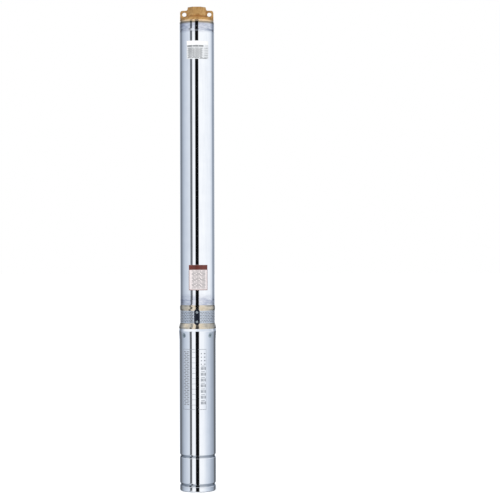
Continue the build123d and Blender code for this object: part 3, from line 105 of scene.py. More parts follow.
def effect(name, inputs):
    """Start a node group for a finish, which puts out a colour, a roughness and a height.

    Returns the tree, its input sockets and its output node.
    """
    tree = bpy.data.node_groups.new(name, "ShaderNodeTree")
    kinds = {"Place": "NodeSocketVector", "Color": "NodeSocketColor",
             "Second Color": "NodeSocketColor"}
    for way, keys in (("INPUT", inputs), ("OUTPUT", ("Color", "Roughness", "Height"))):
        for key in keys:
            kind = kinds.get(key, "NodeSocketFloat")
            tree.interface.new_socket(key, in_out=way, socket_type=kind)
    return tree, tree.nodes.new("NodeGroupInput").outputs, tree.nodes.new("NodeGroupOutput")


def give(tree, end, **results):
    """Link the results of a node group to its outputs."""
    for key, value in results.items():
        tree.links.new(value, end.inputs[key])


def finish(name, group, values, depth, **fixed):
    """Make a material: the group's colour, roughness and height feed one Principled shader.

    values are the group's own inputs, depth is the height of the relief in metres, and fixed
    gives the sockets of the shader that are the same all over, with _ for a space.
    """
    material = bpy.data.materials.new(name)
    material.use_nodes = True
    tree = material.node_tree
    shader = tree.nodes["Principled BSDF"]
    place = put(tree, "TexCoord").outputs["Object"]
    skin = put(tree, "Group", {"Place": place, **values}, node_tree=group)
    relief = put(tree, "Bump", {"Height": skin.outputs["Height"], "Distance": depth})
    tree.links.new(skin.outputs["Color"], shader.inputs["Base Color"])
    tree.links.new(skin.outputs["Roughness"], shader.inputs["Roughness"])
    tree.links.new(relief.outputs["Normal"], shader.inputs["Normal"])
    for key, value in fixed.items():
        shader.inputs[key.replace("_", " ")].default_value = value
    return material


def dress(material, *names):
    """Give CAD nodes a material, in every slot that they have."""
    for name in names:
        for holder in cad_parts[name].material_slots:
            holder.material = material


# Rolled and polished metal: fine hoops round the axis and cloudy wear. Near the foot and the top
# that are given, slow waves and a blotchy violet-grey painted shade, which stands for the
# reflection falling off there, and a brown heat tint at the top lip.
# A grey in the grooves, where the metal is sunk below the radius Sunk, is painted shade for the
# dimmer mirror there.
hoops, given, end = effect(
    "hoop_polish",
    ["Place", "Color", "Second Color", "Smooth", "Rough", "Hoops", "Waves", "End Shade And Tint", "Foot", "Top",
     "Sunk"],
)
fine = grain(hoops, stretched(hoops, given["Place"], 60, 60, 5200), 1.0, 3.0)
cloud = grain(hoops, given["Place"], 34.0, 4.0, 0.6)
streaks = grain(hoops, stretched(hoops, given["Place"], 420, 420, 16), 1.0, 2.0)
wear = sums(hoops, "MULTIPLY", cloud, streaks)
height_up = height_of(hoops, given["Place"])
over_foot = sums(hoops, "SUBTRACT", height_up, given["Foot"])
under_top = sums(hoops, "SUBTRACT", given["Top"], height_up)
near_end = sums(hoops, "MAXIMUM", spread(hoops, over_foot, 0.014, 0.031, 1.0, 0.0),
                spread(hoops, under_top, 0.020, 0.031, 1.0, 0.0))
swell = grain(hoops, stretched(hoops, given["Place"], 42, 42, 150), 1.0, 1.0)
swells = sums(hoops, "MULTIPLY", sums(hoops, "MULTIPLY", swell, near_end), given["Waves"])
# Blotchy violet-grey painted shade near the ends, for the reflection falling off there
end_shade_blots = spread(hoops, grain(hoops, stretched(hoops, given["Place"], 55, 55, 190), 1.0, 3.0, 0.6),
               0.38, 0.62, 0.35, 1.0)
end_shade_share = sums(hoops, "MULTIPLY", sums(hoops, "MULTIPLY", end_shade_blots, near_end), given["End Shade And Tint"])
tinted = sums(hoops, "MULTIPLY", spread(hoops, under_top, 0.003, 0.0065, 1.0, 0.0),
              given["End Shade And Tint"])
worn = blended(hoops, spread(hoops, wear, 0.1, 0.5, 0.0, 1.0), given["Color"],
               given["Second Color"])
from_axis = put(hoops, "VectorMath", {0: stretched(hoops, given["Place"], 1, 1, 0)},
                operation="LENGTH").outputs["Value"]
below_skin = sums(hoops, "SUBTRACT", given["Sunk"], from_axis)
# Share of painted shade in the grooves, where the metal is sunk below the skin
groove_shade_share = sums(hoops, "MULTIPLY", spread(hoops, height_up, 0.009, 0.012, 0.0, 1.0),
            spread(hoops, below_skin, 0.0002, 0.0016, 0.0, 1.0))
# Grey of the painted shade in the grooves
groove_shade = colour(158, 164, 172)
# Violet-grey of the painted shade near the ends
end_shade = colour(176, 180, 196)
heat_tint = colour(150, 138, 120)
groove_shaded = blended(hoops, groove_shade_share, worn, groove_shade)
give(
    hoops, end,
    Color=blended(hoops, tinted, blended(hoops, end_shade_share, groove_shaded, end_shade), heat_tint),
    Roughness=spread(hoops, wear, 0.12, 0.45, given["Smooth"], given["Rough"]),
    Height=sums(hoops, "ADD", sums(hoops, "MULTIPLY", fine, given["Hoops"]), swells),
)
bright_steel = colour(238, 240, 243)
worn_steel = colour(226, 229, 234)
polish = {"Color": bright_steel, "Second Color": worn_steel, "Smooth": 0.03, "Rough": 0.05}
motor_radius = 0.048
# The motor's grooves carry the polish's painted shade.
motor_finish = finish(
    "motor_shell_polish", hoops,
    {**polish, "Hoops": 0.004, "Waves": 0.6, "Foot": 0.0, "Top": 0.4315, "Sunk": motor_radius},
    depth=0.00002, Metallic=1.0,
)
dress(motor_finish, "motor_shell")


# ---------------------------------------------------------------------------------------------
# Shell screws: four countersunk screws of zinc-plated steel, turned in through the shell into
# the bracket's flange at 45 degrees. Each has a cross recess, which is driven in cold.

def zinc_skin(name, smooth, rough, bright=(205, 209, 215), dull=(160, 167, 176)):
    """Zinc plating: blue-white steel with soft blotches and a fine crystalline tooth."""
    values = {"Color": colour(*bright), "Second Color": colour(*dull),
              "Smooth": smooth, "Rough": rough, "Hoops": 0.4, "Waves": 0.3}
    return finish(name, hoops, values, depth=0.00001, Metallic=1.0)


def welded(mesh, crease=32):
    """Join points that lie on each other, which closes seams and poles, and mark sharp edges."""
    form = bmesh.new()
    form.from_mesh(mesh)
    bmesh.ops.remove_doubles(form, verts=form.verts, dist=1e-7)
    form.to_mesh(mesh)
    form.free()
    mesh.polygons.foreach_set("use_smooth", np.ones(len(mesh.polygons), bool))
    mesh.set_sharp_from_angle(angle=radians(crease))
    mesh.update()


def mesh_piece(name, points, faces, material, body, slot):
    """Make one piece from an (n, 3) array of points and an (m, 4) array of corner numbers."""
    mesh = bpy.data.meshes.new(name)
    mesh.from_pydata(np.asarray(points).reshape(-1, 3).tolist(), [], np.asarray(faces).tolist())
    mesh.materials.append(material)
    welded(mesh)
    piece = bpy.data.objects.new(name, mesh)
    bpy.context.scene.collection.objects.link(piece)
    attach(piece, body)
    return piece


def grid_faces(rows, columns, closed):
    """Corner numbers of the quads between neighbouring grid points, rows by columns.

    Point (r, c) has the number r*columns + c. A closed grid joins its last column to its first.
    """
    row, column = np.meshgrid(np.arange(rows - 1), np.arange(columns - (not closed)),
                              indexing="ij")
    after = (column + 1) % columns
    corners = (row * columns + column, row * columns + after, (row + 1) * columns + after,
               (row + 1) * columns + column)
    return np.stack(corners, axis=-1).reshape(-1, 4)


def screw_form(head, centre, edge, power, recess, depth, foot, rings=24, spokes=48):
    """Points of a cross-recessed screw along +Z, as a polar grid that closes at its crown and tip.

    At radius r the crown is edge + (centre - edge)*(1 - (r/head)^power), less the recess: two
    crossed bars of the given reach, whose walls slope down to depth over the share wall of their
    width. foot lists (radius, height) for the rings from the crown's rim down to the tip.
    """
    turn = -np.arange(spokes) * tau / spokes
    r, a = np.meshgrid(head * np.linspace(0.0, 1.0, rings) ** 0.8, turn, indexing="ij")
    x, y = r * np.cos(a), r * np.sin(a)
    bar = 0.2 * recess
    wall = 0.5
    inside = np.maximum(
        np.minimum(1 - np.abs(x) / recess, 1 - np.abs(y) / bar),
        np.minimum(1 - np.abs(y) / recess, 1 - np.abs(x) / bar),
    )
    crown = edge + (centre - edge) * (1 - (r / head) ** power)
    z = crown - depth * np.clip(inside / wall, 0.0, 1.0)
    rims = np.array([[np.cos(turn) * radius, np.sin(turn) * radius, 0 * turn + height]
                     for radius, height in [*foot, (0.0, foot[-1][1])]])
    return np.concatenate([np.stack([x, y, z], axis=-1), rims.transpose(0, 2, 1)])


def placed(points, azimuth, distance, height, spin=0.0):
    """Turn points so that their +Z faces away from the pump's axis at an azimuth.

    Azimuth 0 faces -Y and 90 faces +X. The local Y axis stays upright, turned by spin.
    """
    turn = radians(spin)
    x = points[..., 0] * cos(turn) - points[..., 1] * sin(turn)
    up = points[..., 0] * sin(turn) + points[..., 1] * cos(turn)
    out = points[..., 2] + distance
    a = radians(azimuth)
    return np.stack([out * sin(a) + x * cos(a), -out * cos(a) + x * sin(a), up + height], axis=-1)


def screw_set(name, heads, material, body, slot):
    """Join several placed screw heads, each a closed grid, into one piece."""
    size = heads[0].shape[0] * heads[0].shape[1]
    one = grid_faces(heads[0].shape[0], heads[0].shape[1], True)
    faces = np.concatenate([one + size * number for number in range(len(heads))])
    return mesh_piece(name, np.concatenate([head.reshape(-1, 3) for head in heads]), faces,
                      material, body, slot)


screw_finish = zinc_skin("screw_zinc", 0.16, 0.34)
shell_seat_radius = 0.04879
shell_screw_height = 0.4110
countersunk = screw_form(
    head=0.0064, centre=0.0, edge=0.0, power=2.0, recess=0.0040, depth=0.0022,
    foot=[(0.0064, -0.0001), (0.0030, -0.0034), (0.0030, -0.0086), (0.0024, -0.0090)],
)
shell_heads = [
    placed(countersunk, azimuth, shell_seat_radius, shell_screw_height, spin)
    for azimuth, spin in ((45, 20), (135, 64), (225, 5), (315, 38))
]
dull_finish = zinc_skin("dull_zinc", 0.3, 0.45, (186, 196, 200), (150, 162, 168))
shell_screw_piece = screw_set("shell_screw_set", shell_heads, dull_finish, "housing", "zinc_steel")
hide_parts("shell_screws")


# ---------------------------------------------------------------------------------------------
# Bottom cover, diaphragm and brackets: grey iron castings turned on their seats, painted where
# the oil does not reach, and a moulded rubber diaphragm that takes up the oil's expansion.

# Sand-cast skin: round grains, darker in the hollows. It is turned smooth between Low and High
# and between Low Top and High Top, where a share mixes in a near-white that is partly the
# turned metal's own paleness and partly a painted highlight.
cast, given, end = effect(
    "sand_cast_skin",
    ["Place", "Color", "Second Color", "Grain", "Smooth", "Rough", "Low", "High", "Low Top",
     "High Top", "Pale And Highlight"],
)
height_up = height_of(cast, given["Place"])
band = [
    sums(cast, "MULTIPLY", sums(cast, "GREATER_THAN", height_up, given[low]),
         sums(cast, "LESS_THAN", height_up, given[high]))
    for low, high in (("Low", "High"), ("Low Top", "High Top"))
]
machined = sums(cast, "MAXIMUM", band[0], band[1])
raw = sums(cast, "SUBTRACT", 1.0, machined)
grains = grain(cast, given["Place"], given["Grain"], 4.0, 0.65)
blotches = grain(cast, given["Place"], 95.0, 4.0, 0.6)
turned = grain(cast, stretched(cast, given["Place"], 50, 50, 4200), 1.0, 2.0)
hollows = spread(cast, sums(cast, "ADD", grains, blotches), 0.75, 1.25, 1.0, 0.0)
dark = sums(cast, "MULTIPLY", hollows, spread(cast, machined, 0.0, 1.0, 1.0, 0.55))
# Near-white for the turned bands: partly the turned metal, partly a painted highlight
turned_and_highlight_tone = colour(250, 238, 224)
tool_mark = 0.03
give(
    cast, end,
    Color=blended(cast, sums(cast, "MULTIPLY", machined, given["Pale And Highlight"]),
                  blended(cast, dark, given["Color"], given["Second Color"]), turned_and_highlight_tone),
    Roughness=spread(cast, sums(cast, "MULTIPLY", raw, spread(cast, grains, 0.3, 0.7, 0.7, 1.0)),
                     0.0, 1.0, given["Smooth"], given["Rough"]),
    Height=sums(cast, "ADD", sums(cast, "MULTIPLY", grains, raw),
                sums(cast, "MULTIPLY", sums(cast, "MULTIPLY", turned, machined), tool_mark)),
)
iron_finish = finish(
    "cast_iron_skin", cast,
    {"Color": colour(122, 126, 128), "Second Color": colour(78, 82, 85), "Grain": 900.0,
     "Smooth": 0.32, "Rough": 0.62, "Low": 0.4310, "High": 0.4330, "Low Top": 0.0, "High Top": 0.0},
    depth=0.00012, Metallic=0.55,
)
dress(iron_finish, "bottom_cover", "lower_bracket", "upper_bracket")

# Moulded skin: a fine even tooth with faint flow marks, for rubber, plastics and lapped rings
moulded, given, end = effect(
    "moulded_skin", ["Place", "Color", "Second Color", "Grain", "Smooth", "Rough"],
)
tooth = grain(moulded, given["Place"], given["Grain"], 3.0, 0.6)
flow = grain(moulded, stretched(moulded, given["Place"], 60, 60, 22), 1.0, 3.0)
give(
    moulded, end,
    Color=blended(moulded, spread(moulded, sums(moulded, "ADD", tooth, flow), 0.8, 1.2, 0.0, 1.0),
                  given["Color"], given["Second Color"]),
    Roughness=spread(moulded, sums(moulded, "MULTIPLY", tooth, flow), 0.15, 0.35,
                     given["Smooth"], given["Rough"]),
    Height=tooth,
)
rubber_finish = finish(
    "nitrile_rubber", moulded,
    {"Color": colour(38, 38, 40), "Second Color": colour(56, 57, 59), "Grain": 2600.0,
     "Smooth": 0.45, "Rough": 0.68},
    depth=0.00004,
)
dress(rubber_finish, "diaphragm", "motor_o_rings", "lip_seal", "gland_rubber", "bearing_bush",
      "sand_slinger", "seal_boot", "valve_seal")


# ---------------------------------------------------------------------------------------------
# Motor bearings, shaft and springs: hardened rings and balls ground and lapped bright, riveted
# brass cages, a ground shaft of chromium steel with a splined end, and spring-steel washers.

ground_steel = {"Color": colour(212, 214, 217), "Second Color": colour(184, 188, 193)}
shaft_finish = finish(
    "ground_shaft_steel", hoops,
    {**ground_steel, "Smooth": 0.14, "Rough": 0.3, "Hoops": 0.5, "Waves": 0.0},
    depth=0.00001, Metallic=1.0,
)
dress(shaft_finish, "motor_shaft", "shaft_circlip", "preload_spring", "shaft_coupling",
      "pump_shaft", "shaft_sleeve")
bearing_finish = finish(
    "lapped_bearing_steel", hoops,
    {"Color": colour(222, 223, 226), "Second Color": colour(204, 206, 210), "Smooth": 0.06,
     "Rough": 0.14, "Hoops": 0.15, "Waves": 0.0},
    depth=0.000006, Metallic=1.0,
)
dress(bearing_finish, "lower_bearing_outer", "lower_bearing_inner", "lower_bearing_balls",
      "upper_bearing_outer", "upper_bearing_inner", "upper_bearing_balls")


# ---------------------------------------------------------------------------------------------
# Stator and rotor: stacks of half-millimetre electrical sheet, with enamelled copper wound
# through the stator's slots and aluminium cast through the rotor's.

# Stacked sheets: thin dark gaps between sheets, each sheet a little bluer or browner
sheets, given, end = effect(
    "stacked_sheets", ["Place", "Color", "Second Color", "Sheets", "Smooth", "Rough"],
)
count = sums(sheets, "MULTIPLY", height_of(sheets, given["Place"]), given["Sheets"])
off_middle = sums(sheets, "SUBTRACT", sums(sheets, "FRACT", count), 0.5)
joint_line = spread(sheets, sums(sheets, "ABSOLUTE", off_middle), 0.36, 0.48, 0.0, 1.0)
each = put(sheets, "TexWhiteNoise", {"W": sums(sheets, "FLOOR", count)},
           noise_dimensions="1D").outputs["Value"]
tone = sums(sheets, "MAXIMUM", joint_line, sums(sheets, "MULTIPLY", each, 0.45))
give(
    sheets, end,
    Color=blended(sheets, tone, given["Color"], given["Second Color"]),
    Roughness=spread(sheets, tone, 0.0, 1.0, given["Smooth"], given["Rough"]),
    Height=sums(sheets, "SUBTRACT", 1.0, joint_line),
)
sheet_finish = finish(
    "lamination_sheet", sheets,
    {"Color": colour(150, 152, 156), "Second Color": colour(84, 86, 92), "Sheets": 2000.0,
     "Smooth": 0.3, "Rough": 0.55},
    depth=0.00004, Metallic=0.9,
)
dress(sheet_finish, "stator_core", "rotor_core")

# Wound wire: round strands that run along the slots and wander a little over each other
strands, given, end = effect(
    "wound_wire", ["Place", "Color", "Second Color", "Smooth", "Rough"],
)
wander = put(strands, "TexNoise", {"Vector": given["Place"], "Scale": 60.0}).outputs["Color"]
drift = stretched(strands, wander, 0.004, 0.004, 0.0)
bent = put(strands, "VectorMath", {0: given["Place"], 1: drift}, operation="ADD").outputs[0]
cells = put(strands, "TexVoronoi", {"Vector": stretched(strands, bent, 1150, 1150, 30),
                                    "Scale": 1.0}, feature="F1").outputs["Distance"]
shade = grain(strands, stretched(strands, given["Place"], 700, 700, 40), 1.0, 2.0)
give(
    strands, end,
    Color=blended(strands, spread(strands, sums(strands, "ADD", cells, shade), 0.7, 1.3, 0.0, 1.0),
                  given["Color"], given["Second Color"]),
    Roughness=spread(strands, shade, 0.3, 0.7, given["Smooth"], given["Rough"]),
    Height=sums(strands, "SUBTRACT", 1.0, cells),
)
copper_finish = finish(
    "enamelled_copper", strands,
    {"Color": colour(214, 128, 76), "Second Color": colour(130, 62, 34), "Smooth": 0.22,
     "Rough": 0.4},
    depth=0.0003, Metallic=0.85, Coat_Weight=0.5, Coat_Roughness=0.2,
)
dress(copper_finish, "stator_windings")
aluminium_finish = finish(
    "die_cast_aluminium", cast,
    {"Color": colour(206, 208, 211), "Second Color": colour(160, 163, 168), "Grain": 1500.0,
     "Smooth": 0.22, "Rough": 0.45, "Low": 0.0, "High": 0.0, "Low Top": 0.0, "High Top": 0.0},
    depth=0.00005, Metallic=1.0,
)
dress(aluminium_finish, "rotor_end_rings")


# ---------------------------------------------------------------------------------------------
# Shaft seal: a lapped alumina seat pressed into the bracket and a lapped carbon ring that turns
# on it, pushed by the spring in the rubber boot.

ceramic_finish = finish(
    "lapped_alumina", moulded,
    {"Color": colour(240, 237, 228), "Second Color": colour(226, 221, 208), "Grain": 3000.0,
     "Smooth": 0.12, "Rough": 0.28},
    depth=0.00001,
)
carbon_finish = finish(
    "lapped_carbon", moulded,
    {"Color": colour(52, 53, 55), "Second Color": colour(74, 75, 78), "Grain": 3000.0,
     "Smooth": 0.2, "Rough": 0.4},
    depth=0.00001,
)
dress(ceramic_finish, "seal_seat")
dress(carbon_finish, "seal_ring")


# ---------------------------------------------------------------------------------------------
# Lead gland, oil plug, studs, washers and nuts: a turned brass gland nut over a rubber cone, and
# plated steel studs on the standard circle that join the pump to the motor.

turned_brass = {"Color": colour(226, 190, 128), "Second Color": colour(196, 156, 92)}
brass_nut_finish = finish(
    "turned_brass", hoops,
    {**turned_brass, "Smooth": 0.16, "Rough": 0.34, "Hoops": 0.6, "Waves": 0.0},
    depth=0.00001, Metallic=1.0,
)
dress(brass_nut_finish, "gland_nut", "valve_seat", "valve_guide", "lower_bearing_cage",
      "upper_bearing_cage")
plate_finish = zinc_skin("hardware_zinc", 0.2, 0.42)
dress(plate_finish, "oil_plug", "flange_washers", "flange_nuts", "shaft_washer", "shaft_screw")


def thread_grid(root, crest, pitch, foot, top, start, columns, per_pitch=8, fade=0.8):
    """Points of a right-handed thread, rows of height by columns of azimuth.

    The radius goes from start at both ends to a wave between root and crest: with the phase
    f = height/pitch - azimuth/360, it is root + (crest - root)*clip(1.5*|2f - 1| - 0.25, 0, 1).
    The wave fades in over the first and last fade pitches.
    """
    rows = int(round((top - foot) / pitch * per_pitch)) + 1
    turn = np.arange(columns) * tau / columns
    z, a = np.meshgrid(np.linspace(foot, top, rows), turn, indexing="ij")
    phase = np.mod((z - foot) / pitch - a / tau, 1.0)
    wave = root + (crest - root) * np.clip(1.5 * np.abs(2 * phase - 1) - 0.25, 0.0, 1.0)
    share = np.clip(np.minimum(z - foot, top - z) / (fade * pitch), 0.0, 1.0)
    r = start + (wave - start) * share
    return np.stack([r * np.cos(a), r * np.sin(a), z], axis=-1)


stud_foot = 0.4185
stud_top = 0.4517
stud_circle = 0.0381
stud_offset = stud_circle * cos(pi / 4)
stud_thread = thread_grid(root=0.00323, crest=0.0040, pitch=0.00125, foot=stud_foot,
                          top=stud_top, start=0.0034, columns=32)
stud_pole = np.zeros_like(stud_thread[:1])
studs = [
    np.concatenate([stud_pole + [0, 0, stud_foot], stud_thread, stud_pole + [0, 0, stud_top]])
    + [along * stud_offset, across * stud_offset, 0]
    for along in (-1, 1) for across in (-1, 1)
]
stud_piece = screw_set("threaded_studs", studs, plate_finish, "housing", "zinc_steel")
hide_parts("flange_studs")


# ---------------------------------------------------------------------------------------------
# Suction bracket: one brass casting with five columns between two rings. The rings are turned
# bright where the shells seat, the columns keep the skin of the sand.

bracket_finish = finish(
    "suction_bracket_brass", cast,
    {"Color": colour(226, 215, 196), "Second Color": colour(160, 142, 112), "Grain": 1100.0,
     "Smooth": 0.11, "Rough": 0.40, "Low": 0.4285, "High": 0.4435, "Low Top": 0.4745,
     "High Top": 0.492},
    depth=0.00014, Metallic=1.0,
)
dress(bracket_finish, "suction_bracket")


# ---------------------------------------------------------------------------------------------
# Intake screen: thin stainless sheet, punched with staggered holes and rolled round the
# bracket. Punching and rolling leave it duller than the shells.

screen_finish = finish(
    "punched_screen", hoops,
    {"Color": colour(204, 211, 220), "Second Color": colour(178, 186, 198), "Smooth": 0.22,
     "Rough": 0.34, "Hoops": 0.05, "Waves": 0.5, "Foot": 0.443, "Top": 0.476},
    depth=0.00002, Metallic=0.75,
)
dress(screen_finish, "intake_screen")


# ---------------------------------------------------------------------------------------------
# Screen clip and its two pan-head screws: a strip of dark-passivated steel that closes the
# screen on the front column.

clip_finish = finish(
    "dark_passivated_strip", hoops,
    {"Color": colour(58, 64, 78), "Second Color": colour(34, 38, 48), "Smooth": 0.22, "Rough": 0.4,
     "Hoops": 0.8, "Waves": 0.4},
    depth=0.00002, Metallic=0.9,
)
dress(clip_finish, "screen_clip")
clip_face = 0.04725
pan_screw = screw_form(
    head=0.0030, centre=0.0015, edge=0.0009, power=3.0, recess=0.0019, depth=0.0010,
    foot=[(0.0032, 0.0006), (0.0033, 0.0), (0.0019, 0.0), (0.0019, -0.0085), (0.0014, -0.0090)],
)
clip_heads = [
    placed(pan_screw, 0, clip_face, height, spin)
    for height, spin in ((0.4470, 12), (0.4720, 55))
]
clip_screw_piece = screw_set("clip_screw_set", clip_heads, dull_finish, "housing", "zinc_steel")
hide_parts("clip_screws")


# ---------------------------------------------------------------------------------------------
# Pump shell: a welded and rolled stainless tube, polished as the motor's is. A rolled bead near
# its top locks the outlet head.

# Near its ends the polish darkens in blotches: painted shade for the reflection falling off.
pump_finish = finish(
    "pump_shell_polish", hoops,
    {**polish, "Hoops": 0.004, "Waves": 9.0, "End Shade And Tint": 1.0, "Foot": 0.4905, "Top": 1.236},
    depth=0.00002, Metallic=1.0,
)
dress(pump_finish, "pump_shell")


# ---------------------------------------------------------------------------------------------
# Hydraulic stages: pressed stainless casings, diffusers of grey glass-filled plastic and
# impellers of white acetal, stacked on a hexagonal shaft.

pressed_finish = finish(
    "pressed_stainless", hoops,
    {"Color": colour(208, 212, 218), "Second Color": colour(176, 182, 190), "Smooth": 0.16,
     "Rough": 0.34, "Hoops": 0.5, "Waves": 0.3},
    depth=0.00002, Metallic=1.0,
)
dress(pressed_finish, "stage_casings")
grey_finish = finish(
    "glass_filled_plastic", moulded,
    {"Color": colour(126, 128, 127), "Second Color": colour(148, 150, 149), "Grain": 1700.0,
     "Smooth": 0.34, "Rough": 0.55},
    depth=0.00005,
)
dress(grey_finish, "diffusers", "bearing_spider")
white_finish = finish(
    "acetal", moulded,
    {"Color": colour(232, 231, 224), "Second Color": colour(220, 218, 208), "Grain": 1200.0,
     "Smooth": 0.24, "Rough": 0.42},
    depth=0.00002, Subsurface_Weight=0.15, Subsurface_Radius=(0.002, 0.002, 0.0018),
)
dress(white_finish, "impellers", "valve_poppet")


# ---------------------------------------------------------------------------------------------
# Outlet head: a brass casting screwed into the shell, with an octagonal boss for a wrench and
# two lifting lugs. The boss has a G 1 1/4 thread, which is cut here in place of its plain bore.

bore_radius = 0.019476
thread_crest = 0.020955
thread_pitch = 0.002309
thread_foot = 1.2560
thread_top = 1.2740
thread_lip = 0.0002
slack = 0.0001
# Its turned rim and boss top take a near-white that is partly a painted highlight.
head_finish = finish(
    "outlet_head_brass", cast,
    {"Color": colour(238, 195, 130), "Second Color": colour(190, 136, 78), "Grain": 1000.0,
     "Smooth": 0.2, "Rough": 0.54, "Low": 1.2362, "High": 1.2402, "Low Top": 1.2752,
     "High Top": 1.2770, "Pale And Highlight": 0.3},
    depth=0.00014, Metallic=1.0,
)
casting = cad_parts["outlet_head"].data.copy()
casting.name = "outlet_head_casting"
for old_normals in [layer for layer in casting.attributes if layer.name == "custom_normal"]:
    casting.attributes.remove(old_normals)
thread = thread_grid(root=bore_radius, crest=thread_crest, pitch=thread_pitch,
                     foot=thread_foot + thread_lip, top=thread_top - thread_lip,
                     start=bore_radius, columns=96)
form = bmesh.new()
form.from_mesh(casting)
bmesh.ops.remove_doubles(form, verts=form.verts, dist=1e-6)
bore_wall = [
    face for face in form.faces
    if all(point.co.xy.length < bore_radius + slack
           and thread_foot - slack < point.co.z < thread_top + slack for point in face.verts)
]
bmesh.ops.delete(form, geom=bore_wall, context="FACES")
corners = [form.verts.new(point) for point in thread.reshape(-1, 3)]
for face in grid_faces(thread.shape[0], thread.shape[1], True)[:, ::-1]:
    form.faces.new([corners[number] for number in face])
for height in (thread_foot, thread_top):
    open_rims = [
        edge for edge in form.edges if edge.is_boundary
        and all(abs(point.co.z - height) < 2 * thread_lip for point in edge.verts)
    ]
    bmesh.ops.bridge_loops(form, edges=open_rims)
bmesh.ops.recalc_face_normals(form, faces=form.faces)
form.to_mesh(casting)
form.free()
casting.materials.clear()
casting.materials.append(head_finish)
welded(casting, 28)
head_piece = bpy.data.objects.new("outlet_head_casting", casting)
bpy.context.scene.collection.objects.link(head_piece)
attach(head_piece, "housing")
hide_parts("outlet_head")


# ---------------------------------------------------------------------------------------------
# Cable guard: a folded stainless channel that covers the motor lead up the back of the pump,
# held by small pan-head screws.

guard_finish = finish(
    "guard_channel", hoops,
    {"Color": colour(228, 231, 235), "Second Color": colour(208, 213, 219), "Smooth": 0.24,
     "Rough": 0.38, "Hoops": 0.2, "Waves": 0.8, "Foot": 0.44, "Top": 1.236},
    depth=0.00002, Metallic=1.0,
)
dress(guard_finish, "cable_guard")
guard_face = 0.04645
small_screw = screw_form(
    head=0.0023, centre=0.0014, edge=0.0008, power=3.0, recess=0.0015, depth=0.0008,
    foot=[(0.0024, 0.0005), (0.0025, 0.0), (0.0015, 0.0), (0.0015, -0.0056), (0.0011, -0.0060)],
    rings=20, spokes=40,
)
guard_heads = [
    placed(small_screw, azimuth, guard_face, height, spin)
    for azimuth, height, spin in (
        (163, 0.5005, 8), (197, 0.5005, 50), (163, 1.2260, 71), (197, 1.2260, 30),
    )
]
guard_screw_piece = screw_set("guard_screw_set", guard_heads, screw_finish, "housing", "zinc_steel")
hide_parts("guard_screws")


# ---------------------------------------------------------------------------------------------
# Stickers and etched grid: two vinyl stickers on the pump shell, one faced with silver foil, and
# a grid that a laser has matted on the motor. All three carry plain rules and blocks.

def curved_plate(radius, thickness, azimuths, heights, step=1.5, rows=3):
    """Points and faces of a thin closed plate that lies on a tube.

    Two grids over azimuth and height, one at radius and one thickness further out, are joined
    round their edges. Azimuth 0 faces -Y and 90 faces +X, with a column every step degrees. The
    joining faces follow the rim along the foot, up, back along the top and down.
    """
    columns = int(np.ceil((azimuths[1] - azimuths[0]) / step)) + 1
    a, z = np.meshgrid(np.radians(np.linspace(*azimuths, columns)), np.linspace(*heights, rows))
    layers = [
        np.stack([r * np.sin(a), -r * np.cos(a), z], axis=-1).reshape(-1, 3)
        for r in (radius + thickness, radius)
    ]
    outer = grid_faces(rows, columns, False)
    size = rows * columns
    ring = np.concatenate([
        np.arange(columns), np.arange(1, rows) * columns + columns - 1,
        (rows - 1) * columns + np.arange(columns - 2, -1, -1),
        np.arange(rows - 2, 0, -1) * columns,
    ])
    after = np.roll(ring, -1)
    sides = np.stack([after, ring, ring + size, after + size], axis=-1)
    return np.concatenate(layers), np.concatenate([outer, outer[:, ::-1] + size, sides])


def joined_plates(plates):
    """Join the points and faces of several plates into one mesh."""
    starts = np.cumsum([0] + [len(points) for points, _ in plates[:-1]])
    points = np.concatenate([points for points, _ in plates])
    return points, np.concatenate([faces + start for (_, faces), start in zip(plates, starts)])


def ruled_rows(radius, rows, columns):
    """Plates for plain printed rows. rows lists (foot, top), columns (first, last) azimuths."""
    return [curved_plate(radius, ink_thickness, span, row) for row in rows for span in columns]


def even_rows(first, last, pitch, height):
    """Foot and top of the rows that follow each other at one pitch."""
    return [(foot, foot + height) for foot in np.arange(first, last, pitch)]


def thin_rules(rows, height, lift=0.0):
    """One thin rule for each row, lifted from the row's foot."""
    return [(foot + lift, foot + lift + height) for foot, _ in rows]


def printed_vinyl(name, bright, dull, smooth=0.28, rough=0.42, **fixed):
    """Vinyl or foil: a nearly even colour with a very fine tooth."""
    values = {"Color": colour(*bright), "Second Color": colour(*dull), "Grain": 900.0,
              "Smooth": smooth, "Rough": rough}
    return finish(name, moulded, values, depth=0.000004, **fixed)


vinyl_white = printed_vinyl("vinyl_white", (250, 250, 248), (240, 241, 240))
silver_foil = printed_vinyl("silver_foil", (214, 217, 219), (230, 232, 233), 0.2, 0.36,
                            Metallic=0.25)
vinyl_blush = printed_vinyl("vinyl_blush", (236, 228, 227), (226, 217, 217))
vinyl_ink = printed_vinyl("vinyl_ink", (98, 101, 103), (122, 125, 127), 0.3, 0.45)
vinyl_red = printed_vinyl("vinyl_red", (86, 33, 25), (110, 48, 37))
pump_radius = 0.0455
glue = 0.00002
sticker_radius = pump_radius + glue
sticker_thickness = 0.00008
ink_radius = sticker_radius + sticker_thickness
ink_thickness = 0.00002
mesh_piece(
    "upper_sticker",
    *curved_plate(sticker_radius, sticker_thickness, azimuths=(-33.8, 43.0),
                  heights=(1.1362, 1.1840)),
    silver_foil, "housing", "white_moulding",
)
mesh_piece(
    "lower_sticker",
    *curved_plate(sticker_radius, sticker_thickness, azimuths=(-28.0, 37.2),
                  heights=(0.5298, 0.5963)),
    vinyl_blush, "housing", "white_moulding",
)
mesh_piece(
    "upper_sticker_strip",
    *curved_plate(ink_radius, ink_thickness, azimuths=(-33.4, 42.6), heights=(1.1735, 1.1836)),
    vinyl_white, "housing", "white_moulding",
)
upper_rows = even_rows(1.1392, 1.1650, pitch=0.0030, height=0.0017)
